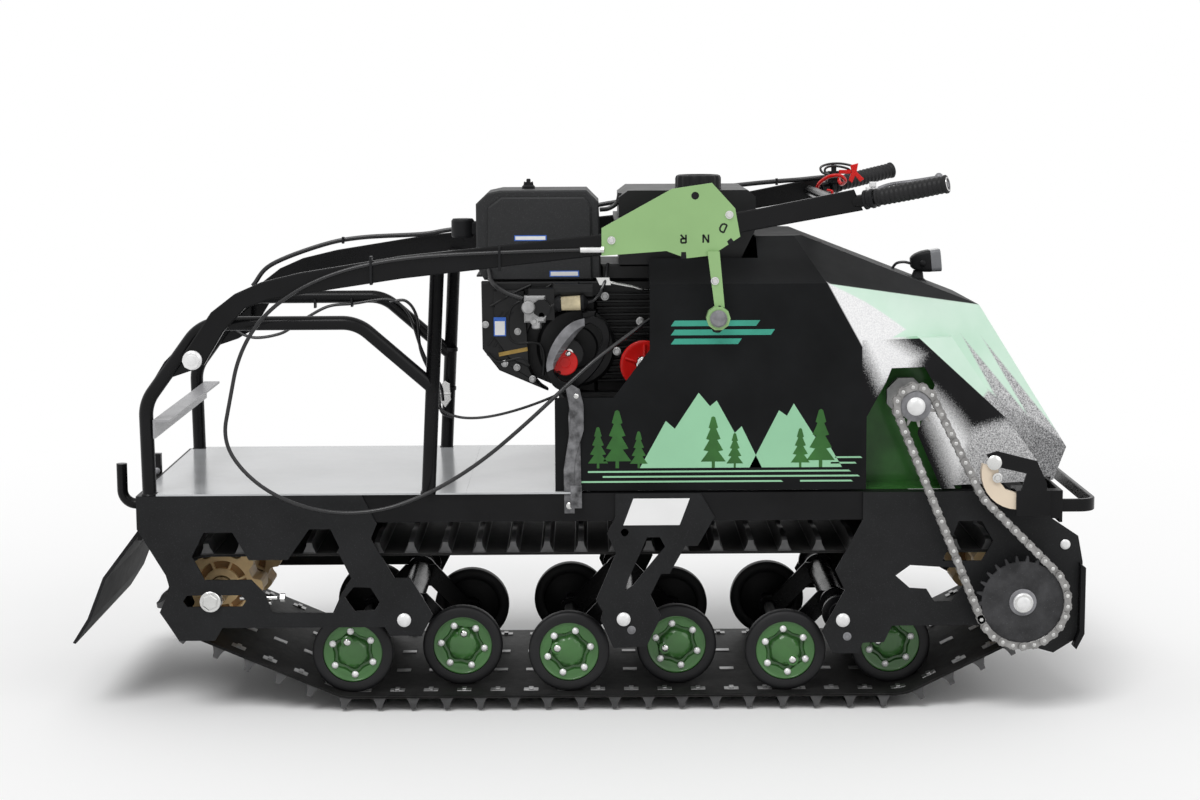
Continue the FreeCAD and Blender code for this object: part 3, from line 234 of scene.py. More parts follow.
def placed(part, places):
    """Copies of a part drawn at the origin of an x-z plane, one at each (x, z, heading)."""
    verts, faces = part
    x, z, turn = (np.asarray(a, float)[:, None] for a in places)
    px, py, pz = verts[None, :, 0], verts[None, :, 1], verts[None, :, 2]
    c, s = np.cos(turn), np.sin(turn)
    moved = np.stack([x + px * c - pz * s, np.broadcast_to(py, (len(x), len(verts))), z + px * s + pz * c],
        -1)
    step = np.arange(len(x)) * len(verts)
    polys = [[index + shift for index in poly] for shift in step.tolist() for poly in faces]
    return moved.reshape(-1, 3), polys


def raised(part, height):
    """The same part, higher by a height."""
    return part[0] + height * UP, part[1]


def other_side(part):
    """The same part on the left-hand side; its faces turn round so that they still point outwards."""
    return part[0] * np.array((1.0, -1.0, 1.0)), [poly[::-1] for poly in part[1]]


def both(part):
    """A part and its mirror image on the other side of the middle plane."""
    return join([part, other_side(part)])


def bolt(x, y, z, radius, height=5.0, axis=RIGHT_SIDE, sides=14, washer=0.0):
    """A domed head, on a washer when one is given."""
    dome = turned([(-0.5, radius), (0.45 * height, radius), (0.8 * height, 0.78 * radius),
        (height, 0.4 * radius), (1.04 * height, 0.0)], (x, y, z), axis, sides)
    if not washer:
        return dome
    return join([dome, turned([(-0.5, washer), (1.2, washer), (1.6, washer - 0.6), (1.6, 0)], (x, y, z), axis,
        20)])


def hex_bolt(x, y, z, radius, height=5.0, axis=RIGHT_SIDE, washer=0.0):
    """A six-sided head with a chamfered rim on a washer."""
    part = [turned([(-0.5, radius), (0.75 * height, radius), (height, 0.86 * radius), (height, 0)], (x, y, z),
        axis, 6, 0.3)]
    part.append(turned([(-0.5, washer or 1.45 * radius), (1.1, washer or 1.45 * radius), (1.5, 1.3 * radius),
        (1.5, 0)], (x, y, z), axis, 18))
    return join(part)


class Loop:
    """A closed line round wheels (x, z, radius, side); side is 1 inside the loop and -1 where a wheel
    presses from outside.

    A run leaves each wheel at the heading that touches the next: the line between centres, less the arcsine of
    the radii's difference over their distance.
    """

    def __init__(self, wheels, offset=0.0):
        x, z, r, side = np.array(wheels, float).T
        r = r + side * offset
        x1, z1, r1, s1 = (np.roll(a, -1) for a in (x, z, r, side))
        reach = np.hypot(x1 - x, z1 - z)
        head = np.arctan2(z1 - z, x1 - x) - np.arcsin((s1 * r1 - side * r) / reach)
        nx, nz = -np.sin(head), np.cos(head)
        self.a = np.stack([x - side * r * nx, z - side * r * nz], 1)
        self.b = np.stack([x1 - s1 * r1 * nx, z1 - s1 * r1 * nz], 1)
        self.before = np.roll(head, 1)
        self.turn = (side * (head - self.before)) % (2 * np.pi)
        self.head, self.x, self.z, self.r, self.side = head, x, z, r, side
        self.lengths = np.stack([r * self.turn, np.linalg.norm(self.b - self.a, axis=1)], 1).ravel()
        self.ends = np.cumsum(self.lengths)
        self.total = float(self.ends[-1])

    def at(self, along):
        """Place and heading (x, z, heading) at each length along the loop."""
        s = np.asarray(along, float) % self.total
        k = np.searchsorted(self.ends, s, side="right").clip(0, len(self.ends) - 1)
        share = 1 - (self.ends[k] - s) / self.lengths[k]
        i, line = k // 2, k % 2 == 1
        swing = self.before[i] + self.side[i] * self.turn[i] * share
        heading = np.where(line, self.head[i], swing)
        x = np.where(line, self.a[i, 0] + (self.b - self.a)[i, 0] * share,
            self.x[i] + self.side[i] * self.r[i] * np.sin(swing))
        z = np.where(line, self.a[i, 1] + (self.b - self.a)[i, 1] * share,
            self.z[i] - self.side[i] * self.r[i] * np.cos(swing))
        return x, z, heading

    def path(self, count):
        """Points at equal lengths round the loop, on the middle plane."""
        x, z, _ = self.at(np.arange(count) * self.total / count)
        return np.stack([x, np.zeros(count), z], 1)


# ---------------------------------------------------------------- making a piece
def piece(name, parts, body="machine", stands_for=(), sharp=32.0):
    """A mesh from ((points, faces), finish) parts: doubles merged, normals outward, edges sharper than
    an angle kept.
    """
    mesh = bpy.data.meshes.new(name)
    whole = join([part for part, _ in parts])
    mesh.from_pydata((whole[0] * 0.001).tolist(), [], whole[1])
    kinds = list(dict.fromkeys(kind for _, kind in parts))
    for kind in kinds:
        mesh.materials.append(finish(kind))
    index = np.concatenate([np.full(len(part[1]), kinds.index(kind)) for part, kind in parts])
    mesh.polygons.foreach_set("material_index", index.astype(np.int32))
    edit = bmesh.new()
    edit.from_mesh(mesh)
    bmesh.ops.remove_doubles(edit, verts=edit.verts, dist=0.00001)
    bmesh.ops.recalc_face_normals(edit, faces=edit.faces)
    edit.to_mesh(mesh)
    edit.free()
    mesh.shade_smooth()
    mesh.set_sharp_from_angle(angle=math.radians(sharp))
    made = bpy.data.objects.new(name, mesh)
    bpy.context.scene.collection.objects.link(made)
    if body:
        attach(made, body)
    if stands_for:
        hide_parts(*stands_for)
    return made


# ---------------------------------------------------------------- finishes
class Finish:
    """A node material built step by step round one Principled shader."""

    def __init__(self, name, colour, roughness=0.5, metallic=0.0, coat=0.0, specular=0.5):
        self.material = bpy.data.materials.new(name)
        self.material.use_nodes = True
        self.tree = self.material.node_tree
        self.shader = self.tree.nodes["Principled BSDF"]
        self.put("Base Color", (*colour, 1.0))
        self.put("Roughness", roughness)
        self.put("Metallic", metallic)
        self.put("Coat Weight", coat)
        self.put("Coat Roughness", 0.12)
        self.put("Specular IOR Level", specular)
        self.coords = self.tree.nodes.new("ShaderNodeTexCoord").outputs["Object"]

    def put(self, socket, value):
        """Set a value on the shader's own socket."""
        self.shader.inputs[socket].default_value = value

    def feed(self, socket, value):
        """Join another node's output to a socket, or set the socket's own value."""
        if hasattr(value, "is_output"):
            self.tree.links.new(value, socket)
        else:
            socket.default_value = value

    def node(self, kind, **inputs):
        """A node with its sockets fed; an underscore in a name stands for a space."""
        made = self.tree.nodes.new(kind)
        for name, value in inputs.items():
            self.feed(made.inputs[name.replace("_", " ")], value)
        return made

    def math(self, operation, a, b=0.0):
        """The result of one sum on two values."""
        made = self.tree.nodes.new("ShaderNodeMath")
        made.operation = operation
        for socket, value in zip(made.inputs, (a, b)):
            self.feed(socket, value)
        return made.outputs[0]

    def link(self, output, socket):
        """Join a node's output to the shader."""
        self.tree.links.new(output, self.shader.inputs[socket])

    def noise(self, scale, detail=4.0, rough=0.55):
        """Cloudy noise from 0 to 1; the scale is in clouds to a metre."""
        return self.node("ShaderNodeTexNoise", Vector=self.coords, Scale=scale, Detail=detail,
            Roughness=rough).outputs["Fac"]

    def ramp(self, fac, stops):
        """A colour ramp; stops are (position, colour)."""
        made = self.node("ShaderNodeValToRGB", Fac=fac)
        cells = made.color_ramp.elements
        while len(cells) < len(stops):
            cells.new(0.5)
        for cell, (where, colour) in zip(cells, stops):
            cell.position = where
            cell.color = (*colour, 1.0)
        return made.outputs["Color"]

    def span(self, fac, low, high, start=0.0, end=1.0):
        """A value from start to end, spread from low to high."""
        return self.node("ShaderNodeMapRange", Value=fac, From_Min=start, From_Max=end, To_Min=low,
            To_Max=high).outputs["Result"]

    def mix(self, fac, a, b):
        """One colour laid over another by a share; inputs 6 and 7 of a Mix node take its colours."""
        made = self.tree.nodes.new("ShaderNodeMix")
        made.data_type = "RGBA"
        self.feed(made.inputs[0], fac)
        for index, colour in ((6, a), (7, b)):
            self.feed(made.inputs[index], colour if hasattr(colour, "is_output") else (*colour, 1.0))
        return made.outputs[2]

    def inside(self, points, soft, wobble=None):
        """How far a place is inside a convex outline of (x, z) in millimetres, as 0 to 1 over a soft edge.

        For each side: the place's step from it along its inward normal; the least of them is spread
        over the edge.
        """
        p = np.asarray(points, float) * 0.001
        least = None
        for (nx, nz), (x, z) in zip(inward(p).tolist(), p.tolist()):
            dot = self.tree.nodes.new("ShaderNodeVectorMath")
            dot.operation = "DOT_PRODUCT"
            self.tree.links.new(self.coords, dot.inputs[0])
            dot.inputs[1].default_value = (nx, 0.0, nz)
            step = self.math("SUBTRACT", dot.outputs["Value"], nx * x + nz * z)
            least = step if least is None else self.math("MINIMUM", least, step)
        if wobble is not None:
            least = self.math("ADD", least, wobble)
        return self.span(least, 0.0, 1.0, -soft * 0.001, soft * 0.001)

    def bump(self, height, strength=0.2, distance=0.001):
        """Let a height tilt the surface's normal."""
        made = self.node("ShaderNodeBump", Height=height, Strength=strength, Distance=distance)
        self.link(made.outputs["Normal"], "Normal")


ROUGH_SPAN = 0.08  # how far a finish's roughness drifts to each side


def painted(name, colour, roughness=0.4, metallic=0.0, coat=0.0, vary=0.12, scale=9.0, grain=320.0,
        grain_depth=0.05, specular=0.12, speck=None, speck_share=0.68):
    """A sprayed or moulded finish: slow colour drift, fine orange peel, uneven gloss and, if asked,
    fine specks.
    """
    f = Finish(name, colour, roughness, metallic, coat, specular)
    slow = f.noise(scale, 5.0)
    dark = tuple(max(c * (1 - vary), 0.0) for c in colour)
    light = tuple(min(c * (1 + vary), 1.0) for c in colour)
    shade = f.ramp(slow, [(0.3, dark), (0.7, light)])
    if speck:
        shade = f.mix(f.span(f.noise(650, 2.0), 0.0, 0.85, speck_share, speck_share + 0.07), shade, speck)
    f.link(shade, "Base Color")
    fine = f.noise(grain, 3.0)
    f.link(f.span(f.noise(scale * 3, 4.0), roughness - ROUGH_SPAN, roughness + ROUGH_SPAN), "Roughness")
    f.bump(fine, grain_depth, 0.0006)
    return f


BLACK = (0.0045, 0.0047, 0.0051)


def hood_paint():
    """Black hood; white, mint and grey speckled sprays laid over the flank and the pressed cover."""
    f = Finish("hood_paint", BLACK, 0.45, specular=0.1)
    slow, fine = f.noise(7.0, 4.0), f.noise(420.0, 2.0)
    spray = f.span(f.noise(520.0, 3.0, 0.7), -0.011, 0.011, 0.2, 0.8)
    black = f.ramp(slow, [(0.3, (0.0030, 0.0033, 0.0036)), (0.72, (0.0085, 0.0092, 0.0100))])
    mint = f.ramp(slow, [(0.3, (0.52, 0.72, 0.585)), (0.7, (0.66, 0.81, 0.71))])
    white = f.ramp(fine, [(0.35, (0.70, 0.70, 0.71)), (0.65, (0.86, 0.86, 0.86))])
    grey = f.ramp(fine, [(0.30, (0.14, 0.14, 0.145)), (0.48, (0.40, 0.40, 0.405)),
        (0.68, (0.68, 0.68, 0.685))])
    grey_deep = f.ramp(fine, [(0.35, (0.05, 0.05, 0.052)), (0.60, (0.30, 0.30, 0.305)),
        (0.75, (0.55, 0.55, 0.55))])
    flank = f.inside([(379, 771), (666, 722), (860, 480), (840, 380), (607, 380)], 0.6)
    shade = f.mix(flank, black, mint)
    shade = f.mix(f.inside([(376, 773), (444, 738), (478, 716), (520, 686), (445, 648)], 1.2), shade, white)
    low = f.inside([(668, 575), (860, 456), (880, 300), (440, 300)], 3.0)
    deep = f.inside([(700, 520), (900, 560), (900, 300), (660, 300)], 60.0)
    speckled = f.mix(deep, grey, grey_deep)
    shade = f.mix(f.math("MULTIPLY", low, flank), shade, speckled)
    for streak in ([(629, 666), (685, 566), (700, 548), (754, 519)], [(670, 658), (752, 520), (826, 468)]):
        shade = f.mix(f.inside(streak, 1.5), shade, grey)
    face = f.inside([(438, 672), (596, 674), (704, 524), (714, 514), (762, 470), (772, 380), (440, 380)], 0.5)
    lower = f.inside([(637, 509), (704, 524), (768, 468), (795, 380), (600, 380)], 7.0, spray)
    near = f.math("LESS_THAN", f.node("ShaderNodeSeparateXYZ", Vector=f.coords).outputs["Y"], -0.15)
    cover = f.ramp(slow, [(0.3, (0.004, 0.004, 0.0045)), (0.72, (0.009, 0.009, 0.010))])
    cover = f.mix(f.inside([(425, 690), (470, 690), (541, 640), (530, 612), (500, 600), (470, 590)], 15.0,
        spray), cover, white)
    cover = f.mix(f.inside([(535, 580), (572, 575), (600, 540), (640, 500), (640, 380), (600, 380),
        (560, 520)], 18.0, spray), cover, white)
    cover = f.mix(lower, cover, grey)
    brow = f.inside([(436, 671.5), (436, 700), (600, 700), (598, 671.5)], 0.5)
    ledge = f.mix(f.inside([(510, 740), (600, 740), (600, 640), (524, 640)], 10.0, spray), white,
        (0.36, 0.58, 0.42))
    cover = f.mix(brow, cover, ledge)
    shade = f.mix(f.math("MULTIPLY", face, near), shade, cover)
    f.link(shade, "Base Color")
    f.link(f.span(f.noise(30.0, 4.0), 0.42, 0.58), "Roughness")
    f.bump(fine, 0.08, 0.0006)
    return f


FINISHES = {}


def finish(name):
    """The material of a finish that has been made."""
    return FINISHES[name].material


FINISH_TABLE = (
    ("black_steel", (0.0042, 0.0042, 0.0047), 0.26, dict(vary=0.35, grain=500, grain_depth=0.08,
        specular=0.16)),
    ("plate_black", (0.0072, 0.0075, 0.0082), 0.5, dict(vary=0.3, grain=260, grain_depth=0.28, scale=14,
        speck=(0.035, 0.036, 0.038), speck_share=0.63, specular=0.2)),
    ("rail_black", (0.0065, 0.0065, 0.007), 0.4, dict(vary=0.35, grain=420, grain_depth=0.10)),
    # The rack crossbar's light grey below is painted reflection: it stands in for the white that the bar's flat
    # faces mirror.
    ("bar_painted_reflection", (0.30, 0.30, 0.31), 0.34, dict(vary=0.12, scale=8, grain=240, specular=0.3)),
    ("deck_grey", (0.44, 0.45, 0.46), 0.22, dict(coat=0.35, vary=0.06, scale=4, grain=200, specular=0.5)),
    ("tyre_black", (0.0095, 0.0095, 0.0103), 0.5, dict(vary=0.3, specular=0.25, scale=14, grain=300,
        grain_depth=0.15)),
    ("belt_rubber", (0.009, 0.0088, 0.0088), 0.6, dict(vary=0.6, specular=0.2, scale=26, grain=420,
        grain_depth=0.35, speck=(0.10, 0.095, 0.09), speck_share=0.66)),
    ("lug_rubber", (0.030, 0.030, 0.031), 0.42, dict(vary=0.6, specular=0.7, scale=40, grain=520,
        grain_depth=0.35)),
    ("bright_metal", (0.62, 0.62, 0.61), 0.26, dict(metallic=1.0, vary=0.12, grain=900)),
    ("white_metal", (0.72, 0.72, 0.72), 0.34, dict(metallic=0.35, vary=0.08, scale=60, grain=700)),
    ("chain_steel", (0.27, 0.265, 0.26), 0.36, dict(metallic=0.85, vary=0.28, scale=70, grain=900)),
    ("pin_steel", (0.52, 0.52, 0.51), 0.28, dict(metallic=0.9, vary=0.2, scale=90, grain=900)),
    ("wheel_steel", (0.040, 0.040, 0.042), 0.5, dict(metallic=0.1, vary=0.4, scale=30, grain=350,
        grain_depth=0.25, speck=(0.13, 0.13, 0.135))),
    ("clip_steel", (0.30, 0.30, 0.30), 0.35, dict(metallic=0.9, vary=0.3, scale=50, grain=700)),
    # The next finish is a darker copy of roller green laid in the rollers' scalloped recess: painted shade in
    # the hollow.
    ("roller_painted_shade", (0.026, 0.088, 0.020), 0.3, dict(specular=0.4, coat=0.3, vary=0.3, scale=18, grain=160)),
    ("roller_green", (0.043, 0.135, 0.033), 0.2, dict(specular=0.5, vary=0.16, scale=18, grain=160)),
    ("deep_green", (0.028, 0.115, 0.022), 0.34, dict(coat=0.3, vary=0.35, scale=12, grain=300)),
    ("sage_green", (0.262, 0.425, 0.188), 0.42, dict(vary=0.05, grain=300, speck=(0.40, 0.30, 0.18),
        speck_share=0.74)),
    ("art_green", (0.275, 0.53, 0.335), 0.4, dict(vary=0.06, scale=5, grain=300)),
    ("art_teal", (0.05, 0.30, 0.22), 0.42, dict(vary=0.2, scale=14, grain=300)),
    ("tan_plastic", (0.88, 0.62, 0.33), 0.42, dict(vary=0.18, scale=20, grain=300, grain_depth=0.15)),
    # The next finish is a darker tan laid on the sprocket pocket floors: painted shade in the pockets.
    ("tan_painted_shade", (0.34, 0.20, 0.09), 0.5, dict(vary=0.25, scale=20, grain=300)),
    ("beige_plastic", (0.66, 0.56, 0.44), 0.4, dict(vary=0.06, grain=200)),
    ("black_plastic", (0.0125, 0.0128, 0.0138), 0.42, dict(vary=0.2, grain=900, grain_depth=0.3)),
    ("cleaner_plastic", (0.0150, 0.0155, 0.0165), 0.5, dict(vary=0.2, scale=5, grain=1200, grain_depth=0.35,
        specular=0.3, speck=(0.05, 0.05, 0.052), speck_share=0.60)),
    ("engine_black", (0.0045, 0.0046, 0.0050), 0.42, dict(specular=0.28, vary=0.3, grain=600,
        grain_depth=0.2)),
    ("alloy", (0.36, 0.36, 0.36), 0.4, dict(metallic=0.8, vary=0.25, scale=40, grain=600, grain_depth=0.3)),
    ("ring_grey", (0.20, 0.20, 0.21), 0.4, dict(metallic=0.3, vary=0.35, scale=45, grain=300,
        grain_depth=0.3)),
    ("strap_rubber", (0.13, 0.13, 0.135), 0.5, dict(vary=0.75, scale=55, grain=260, grain_depth=0.5)),
    ("cable_black", (0.007, 0.007, 0.008), 0.28, dict(vary=0.2, grain=900, specular=0.5)),
    ("red_paint", (0.62, 0.012, 0.010), 0.32, dict(coat=0.3, vary=0.12, scale=20, grain=200)),
    ("label_white", (0.74, 0.74, 0.74), 0.4, dict(vary=0.03, grain=200)),
    ("label_blue", (0.05, 0.14, 0.50), 0.4, dict(vary=0.05, grain=200)),
    ("label_gold", (0.30, 0.20, 0.06), 0.4, dict(metallic=0.3, vary=0.2, scale=60, grain=200)),
    ("filter_bowl", (0.58, 0.50, 0.33), 0.35, dict(coat=0.3, vary=0.25, scale=60, grain=300,
        speck=(0.75, 0.70, 0.55))),
    ("lens_grey", (0.16, 0.165, 0.175), 0.22, dict(coat=0.8, vary=0.15, scale=30, grain=250,
        grain_depth=0.3)),
    ("flap_rubber", (0.014, 0.014, 0.015), 0.6, dict(vary=0.3, scale=14, grain=360, grain_depth=0.3)),
)


def make_finishes():
    """Make every finish in the table, and the hood's own."""
    for name, colour, rough, extra in FINISH_TABLE:
        FINISHES[name] = painted(name, colour, rough, **extra)
    FINISHES["hood_paint"] = hood_paint()


# ---------------------------------------------------------------- stage
class StageSizes(bpy.types.PropertyGroup):
    """Camera, floor and lamps."""

    camera_place: FloatVectorProperty(name="Camera place", description="Where the camera stands", size=3,
        subtype="TRANSLATION", unit="LENGTH", default=(-0.03969, -4.18561, 1.10277))
    camera_turn: FloatVectorProperty(name="Camera turn", description="Pitch, roll and yaw of the camera",
        size=3, subtype="EULER", unit="ROTATION", default=(math.radians(82.24), math.radians(0.3),
        math.radians(-0.27)))
    lens: FloatProperty(name="Lens", description="Focal length on a 36 mm wide sensor", default=67.36,
        min=1.0)
    floor_colour: FloatVectorProperty(name="Floor colour", description="Colour of the floor and backdrop",
        size=3, subtype="COLOR", default=(0.95, 0.95, 0.95))
    sun: FloatProperty(name="Sun", description="Strength of the broad overhead lamp", default=1.35, min=0.0)
    sky: FloatProperty(name="Sky", description="Strength of the even light from all round", default=0.62,
        min=0.0)


SIDE_SUN = 0.45
FLOOR_REACH = 40.0
WHITE_FROM, WHITE_TO = 1.4, 3.2  # the floor fades to plain white between these distances


class SNOWTUG_OT_stage(bpy.types.Operator):
    """Make the floor, the lamps and the camera."""

    bl_idname = "snowtug.stage"
    bl_label = "Stage"

    def execute(self, context):
        sizes = context.scene.snowtug_stage
        reach = FLOOR_REACH
        mesh = bpy.data.meshes.new("floor")
        mesh.from_pydata([(-reach, -reach, 0), (reach, -reach, 0), (reach, reach, 0), (-reach, reach, 0)], [],
            [(0, 1, 2, 3)])
        floor = bpy.data.objects.new("floor", mesh)
        context.scene.collection.objects.link(floor)
        f = Finish("floor_white", sizes.floor_colour, 0.95, specular=0.0)
        glow = f.node("ShaderNodeEmission", Color=(1, 1, 1, 1), Strength=1.0)
        reached = f.node("ShaderNodeVectorMath", Vector=f.coords)
        reached.operation = "LENGTH"
        far = f.span(reached.outputs["Value"], 0.0, 1.0, WHITE_FROM, WHITE_TO)
        seen = f.math("MULTIPLY", far, self.seen(f.tree))
        blend = f.node("ShaderNodeMixShader", Fac=seen)
        f.tree.links.new(f.shader.outputs[0], blend.inputs[1])
        f.tree.links.new(glow.outputs[0], blend.inputs[2])
        f.tree.links.new(blend.outputs[0], f.tree.nodes["Material Output"].inputs["Surface"])
        mesh.materials.append(f.material)
        world = bpy.data.worlds.new("studio")
        context.scene.world = world
        world.use_nodes = True
        tree = world.node_tree
        background = tree.nodes["Background"]
        background.inputs["Color"].default_value = (1, 1, 1, 1)
        background.inputs["Strength"].default_value = sizes.sky
        white = tree.nodes.new("ShaderNodeBackground")
        white.inputs["Color"].default_value = (1, 1, 1, 1)
        white.inputs["Strength"].default_value = 1.0
        mix = tree.nodes.new("ShaderNodeMixShader")
        tree.links.new(self.seen(tree), mix.inputs["Fac"])
        tree.links.new(background.outputs[0], mix.inputs[1])
        tree.links.new(white.outputs[0], mix.inputs[2])
        tree.links.new(mix.outputs[0], tree.nodes["World Output"].inputs["Surface"])
        lamps = (("high_sun", (38, 0, -24), sizes.sun, 28), ("side_sun", (62, 0, 48), SIDE_SUN, 40))
        for name, turn, power, angle in lamps:
            data = bpy.data.lights.new(name, "SUN")
            data.energy = power
            data.angle = math.radians(angle)
            lamp = bpy.data.objects.new(name, data)
            lamp.rotation_euler = tuple(math.radians(t) for t in turn)
            context.scene.collection.objects.link(lamp)
        data = bpy.data.cameras.new("camera")
        data.lens = sizes.lens
        data.sensor_width = 36.0
        camera = bpy.data.objects.new("camera", data)
        camera.location = sizes.camera_place
        camera.rotation_euler = sizes.camera_turn
        context.scene.collection.objects.link(camera)
        context.scene.camera = camera
        context.scene.view_settings.view_transform = "Standard"
        return {"FINISHED"}

    @staticmethod
    def seen(tree):
        """1 for rays from the camera and for those that mirror or pass through the object."""
        path = tree.nodes.new("ShaderNodeLightPath")
        most = path.outputs["Is Camera Ray"]
        for ray in ("Is Glossy Ray", "Is Transmission Ray"):
            made = tree.nodes.new("ShaderNodeMath")
            made.operation = "MAXIMUM"
            tree.links.new(most, made.inputs[0])
            tree.links.new(path.outputs[ray], made.inputs[1])
            most = made.outputs[0]
        return most


# ---------------------------------------------------------------- finishes on the CAD nodes
NODE_FINISH = {
    "chassis_rails": "rail_black",
    "cargo_deck": "deck_grey",
    "engine_platform": "deck_grey",
    "side_plates_rear": "plate_black",
    "side_plates_middle": "plate_black",
    "side_plates_front": "plate_black",
    "chainwheel_large": "wheel_steel",
    "chainwheel_small": "chain_steel",
    "jackshaft": "bright_metal",
    "jackshaft_bearing": "alloy",
    "jackshaft_plate": "deep_green",
    # The crossbar's light grey finish is painted reflection.
    "rack_crossbar": "bar_painted_reflection",
    "fuel_tank": "engine_black",
    "hood_shell": "hood_paint",
    "tensioner_shoe": "beige_plastic",
    "mud_flap": "flap_rubber",
    "handle_pivots": "white_metal",
    "selector_plate": "sage_green",
    "selector_lever": "sage_green",
    "hood_straps": "strap_rubber",
    "track_axles": "bright_metal",
    "belt_pulleys": "engine_black",
    "carburettor": "engine_black",
}


class SNOWTUG_OT_frame_finishes(bpy.types.Operator):
    """Give every CAD node its finish."""

    bl_idname = "snowtug.frame_finishes"
    bl_label = "Frame finishes"

    def execute(self, context):
        for name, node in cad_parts.items():
            node.data.materials.clear()
            node.data.materials.append(finish(NODE_FINISH.get(name, "black_steel")))
        return {"FINISHED"}


# ---------------------------------------------------------------- control cable
CABLE_ROUTE = [(-0.021, -0.2998, 0.836), (-0.122, -0.2998, 0.8345), (-0.225, -0.2998, 0.831),
    (-0.322, -0.2998, 0.8265), (-0.410, -0.2998, 0.816), (-0.489, -0.3008, 0.7965), (-0.560, -0.3018, 0.7635),
    (-0.618, -0.3028, 0.715), (-0.654, -0.3048, 0.651), (-0.669041, -0.3048, 0.579),
    (-0.6845, -0.3048, 0.505), (-0.645, -0.3048, 0.443), (-0.578, -0.3048, 0.397), (-0.492, -0.3048, 0.374),
    (-0.402, -0.3048, 0.380), (-0.317, -0.3048, 0.413), (-0.233, -0.3038, 0.465), (-0.156, -0.3018, 0.530),
    (-0.080, -0.2918, 0.600), (-0.014, -0.2698, 0.657), (0.092, -0.214, 0.724)]


def cord_line(name, points):
    """The points of a third-order spline through a cable's free run, as it lies."""
    data = bpy.data.curves.new(name + "_line", "CURVE")
    data.dimensions = "3D"
    data.resolution_u = 10
    spline = data.splines.new("NURBS")
    spline.points.add(len(points) - 1)
    spline.points.foreach_set("co", np.c_[np.array(points), np.ones(len(points))].ravel())
    spline.order_u = 3
    spline.use_endpoint_u = True
    holder = bpy.data.objects.new(name + "_line", data)
    bpy.context.scene.collection.objects.link(holder)
    mesh = bpy.data.meshes.new_from_object(holder)
    line = np.empty(len(mesh.vertices) * 3)
    mesh.vertices.foreach_get("co", line)
    bpy.data.objects.remove(holder)
    bpy.data.meshes.remove(mesh)
    return line.reshape(-1, 3)


class CableSizes(bpy.types.PropertyGroup):
    """The control cable's sizes."""

    across: FloatProperty(name="Cable", description="Outer width of the control cable", default=0.007,
        unit="LENGTH")
    length: FloatProperty(name="Cable length", description="Free length of the control cable", default=1.79,
        unit="LENGTH")
    sides: IntProperty(name="Cable sides", description="Faces round the cable", default=12, min=6)


class SNOWTUG_OT_cable(bpy.types.Operator):
    """Lay the selector cable from the handlebar plate, in its loop beside the deck, to the engine."""

    bl_idname = "snowtug.cable"
    bl_label = "Control cable"

    def execute(self, context):
        sizes = context.scene.snowtug_cable
        line = cord_line("control_cable", CABLE_ROUTE)
        tube = carried(circle(sizes.across * 500, sizes.sides), line * 1000.0)
        made = piece("control_cable", [(tube, "cable_black")], None,
            ("arm_cable", "shift_cable"))
        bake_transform(made)
        sleeve = turned([(0, 2.5), (0, 4.6), (4, 4.8), (34, 4.8), (36, 4.2), (36, 3.6)], (-57, -299.8, 835.4),
            (1, 0, 0), 14)
        nut = turned([(0, 3.4), (0.5, 5.6), (6, 5.6), (6.5, 3.4)], (-22, -299.8, 836), (1, 0, 0), 6)
        piece("cable_fitting", [(sleeve, "white_metal"), (nut, "bright_metal")], "handlebar")
        ties = [block(x - 2.2, x + 2.2, -305.0, -283.0, low, high, 1.2)
            for x, low, high in ((-197, 800, 842), (-420, 777, 826))]
        piece("cable_ties", [(join(ties), "black_plastic")], "handlebar")
        return {"FINISHED"}


# ---------------------------------------------------------------- rubber track
WHEELBASE, AXLE_Z, ROLLER_Z = 1437.0, 212.0, 104.2
AXLE_X = WHEELBASE / 2
STAR_REACH, ROLLER_REACH = 75.6, 73.2  # the belt's inner face from an axle's centre and from a roller's
BELT_SECTIONS = 336
BOGIE_X, BOGIE_Z = (-375, 16, 407), 174
SPROCKET_Y = 115
ROLLERS = [(-473, 215), (-277, 165), (-82, 215), (114, 165), (309, 215), (505, 165)]


class TrackSizes(bpy.types.PropertyGroup):
    """The belt and its lugs."""

    lugs: IntProperty(name="Lugs", description="Number of lugs round the belt", default=56)
    height: FloatProperty(name="Lug height", description="How far a lug stands off the belt", default=0.025,
        unit="LENGTH")
    belt: FloatProperty(name="Belt", description="Thickness of the belt", default=0.006, unit="LENGTH")


def lug(height):
    """A paddle across the belt; its top is height x (1 - a hollow of 0.16 between five humps), and
    drops a fifth at its ends.
    """
    y = np.concatenate([[-247], np.linspace(-240, 240, 31), [247]])
    ends = np.where(np.abs(y) > 240, 0.8, 1.0)
    top = height * (1 - 0.16 * (0.5 + 0.5 * np.cos(2 * np.pi * y / 112))) * ends
    base, tip = 10.5, 4.6
    shape = np.array([(-base, -1.0), (-base, 1.5), (-tip - 1.2, 0.55), (-tip, 1.0), (tip, 1.0),
        (tip + 1.2, 0.55), (base, 1.5), (base, -1.0)])
    x = np.broadcast_to(shape[:, 0], (len(y), 8)).copy()
    z = np.stack([np.full(len(y), -1.0), np.full(len(y), 1.5), 0.62 * top, top, top, 0.62 * top,
        np.full(len(y), 1.5), np.full(len(y), -1.0)], 1)
    return grid(np.stack([x, np.broadcast_to(y[:, None], x.shape), -z], 2))


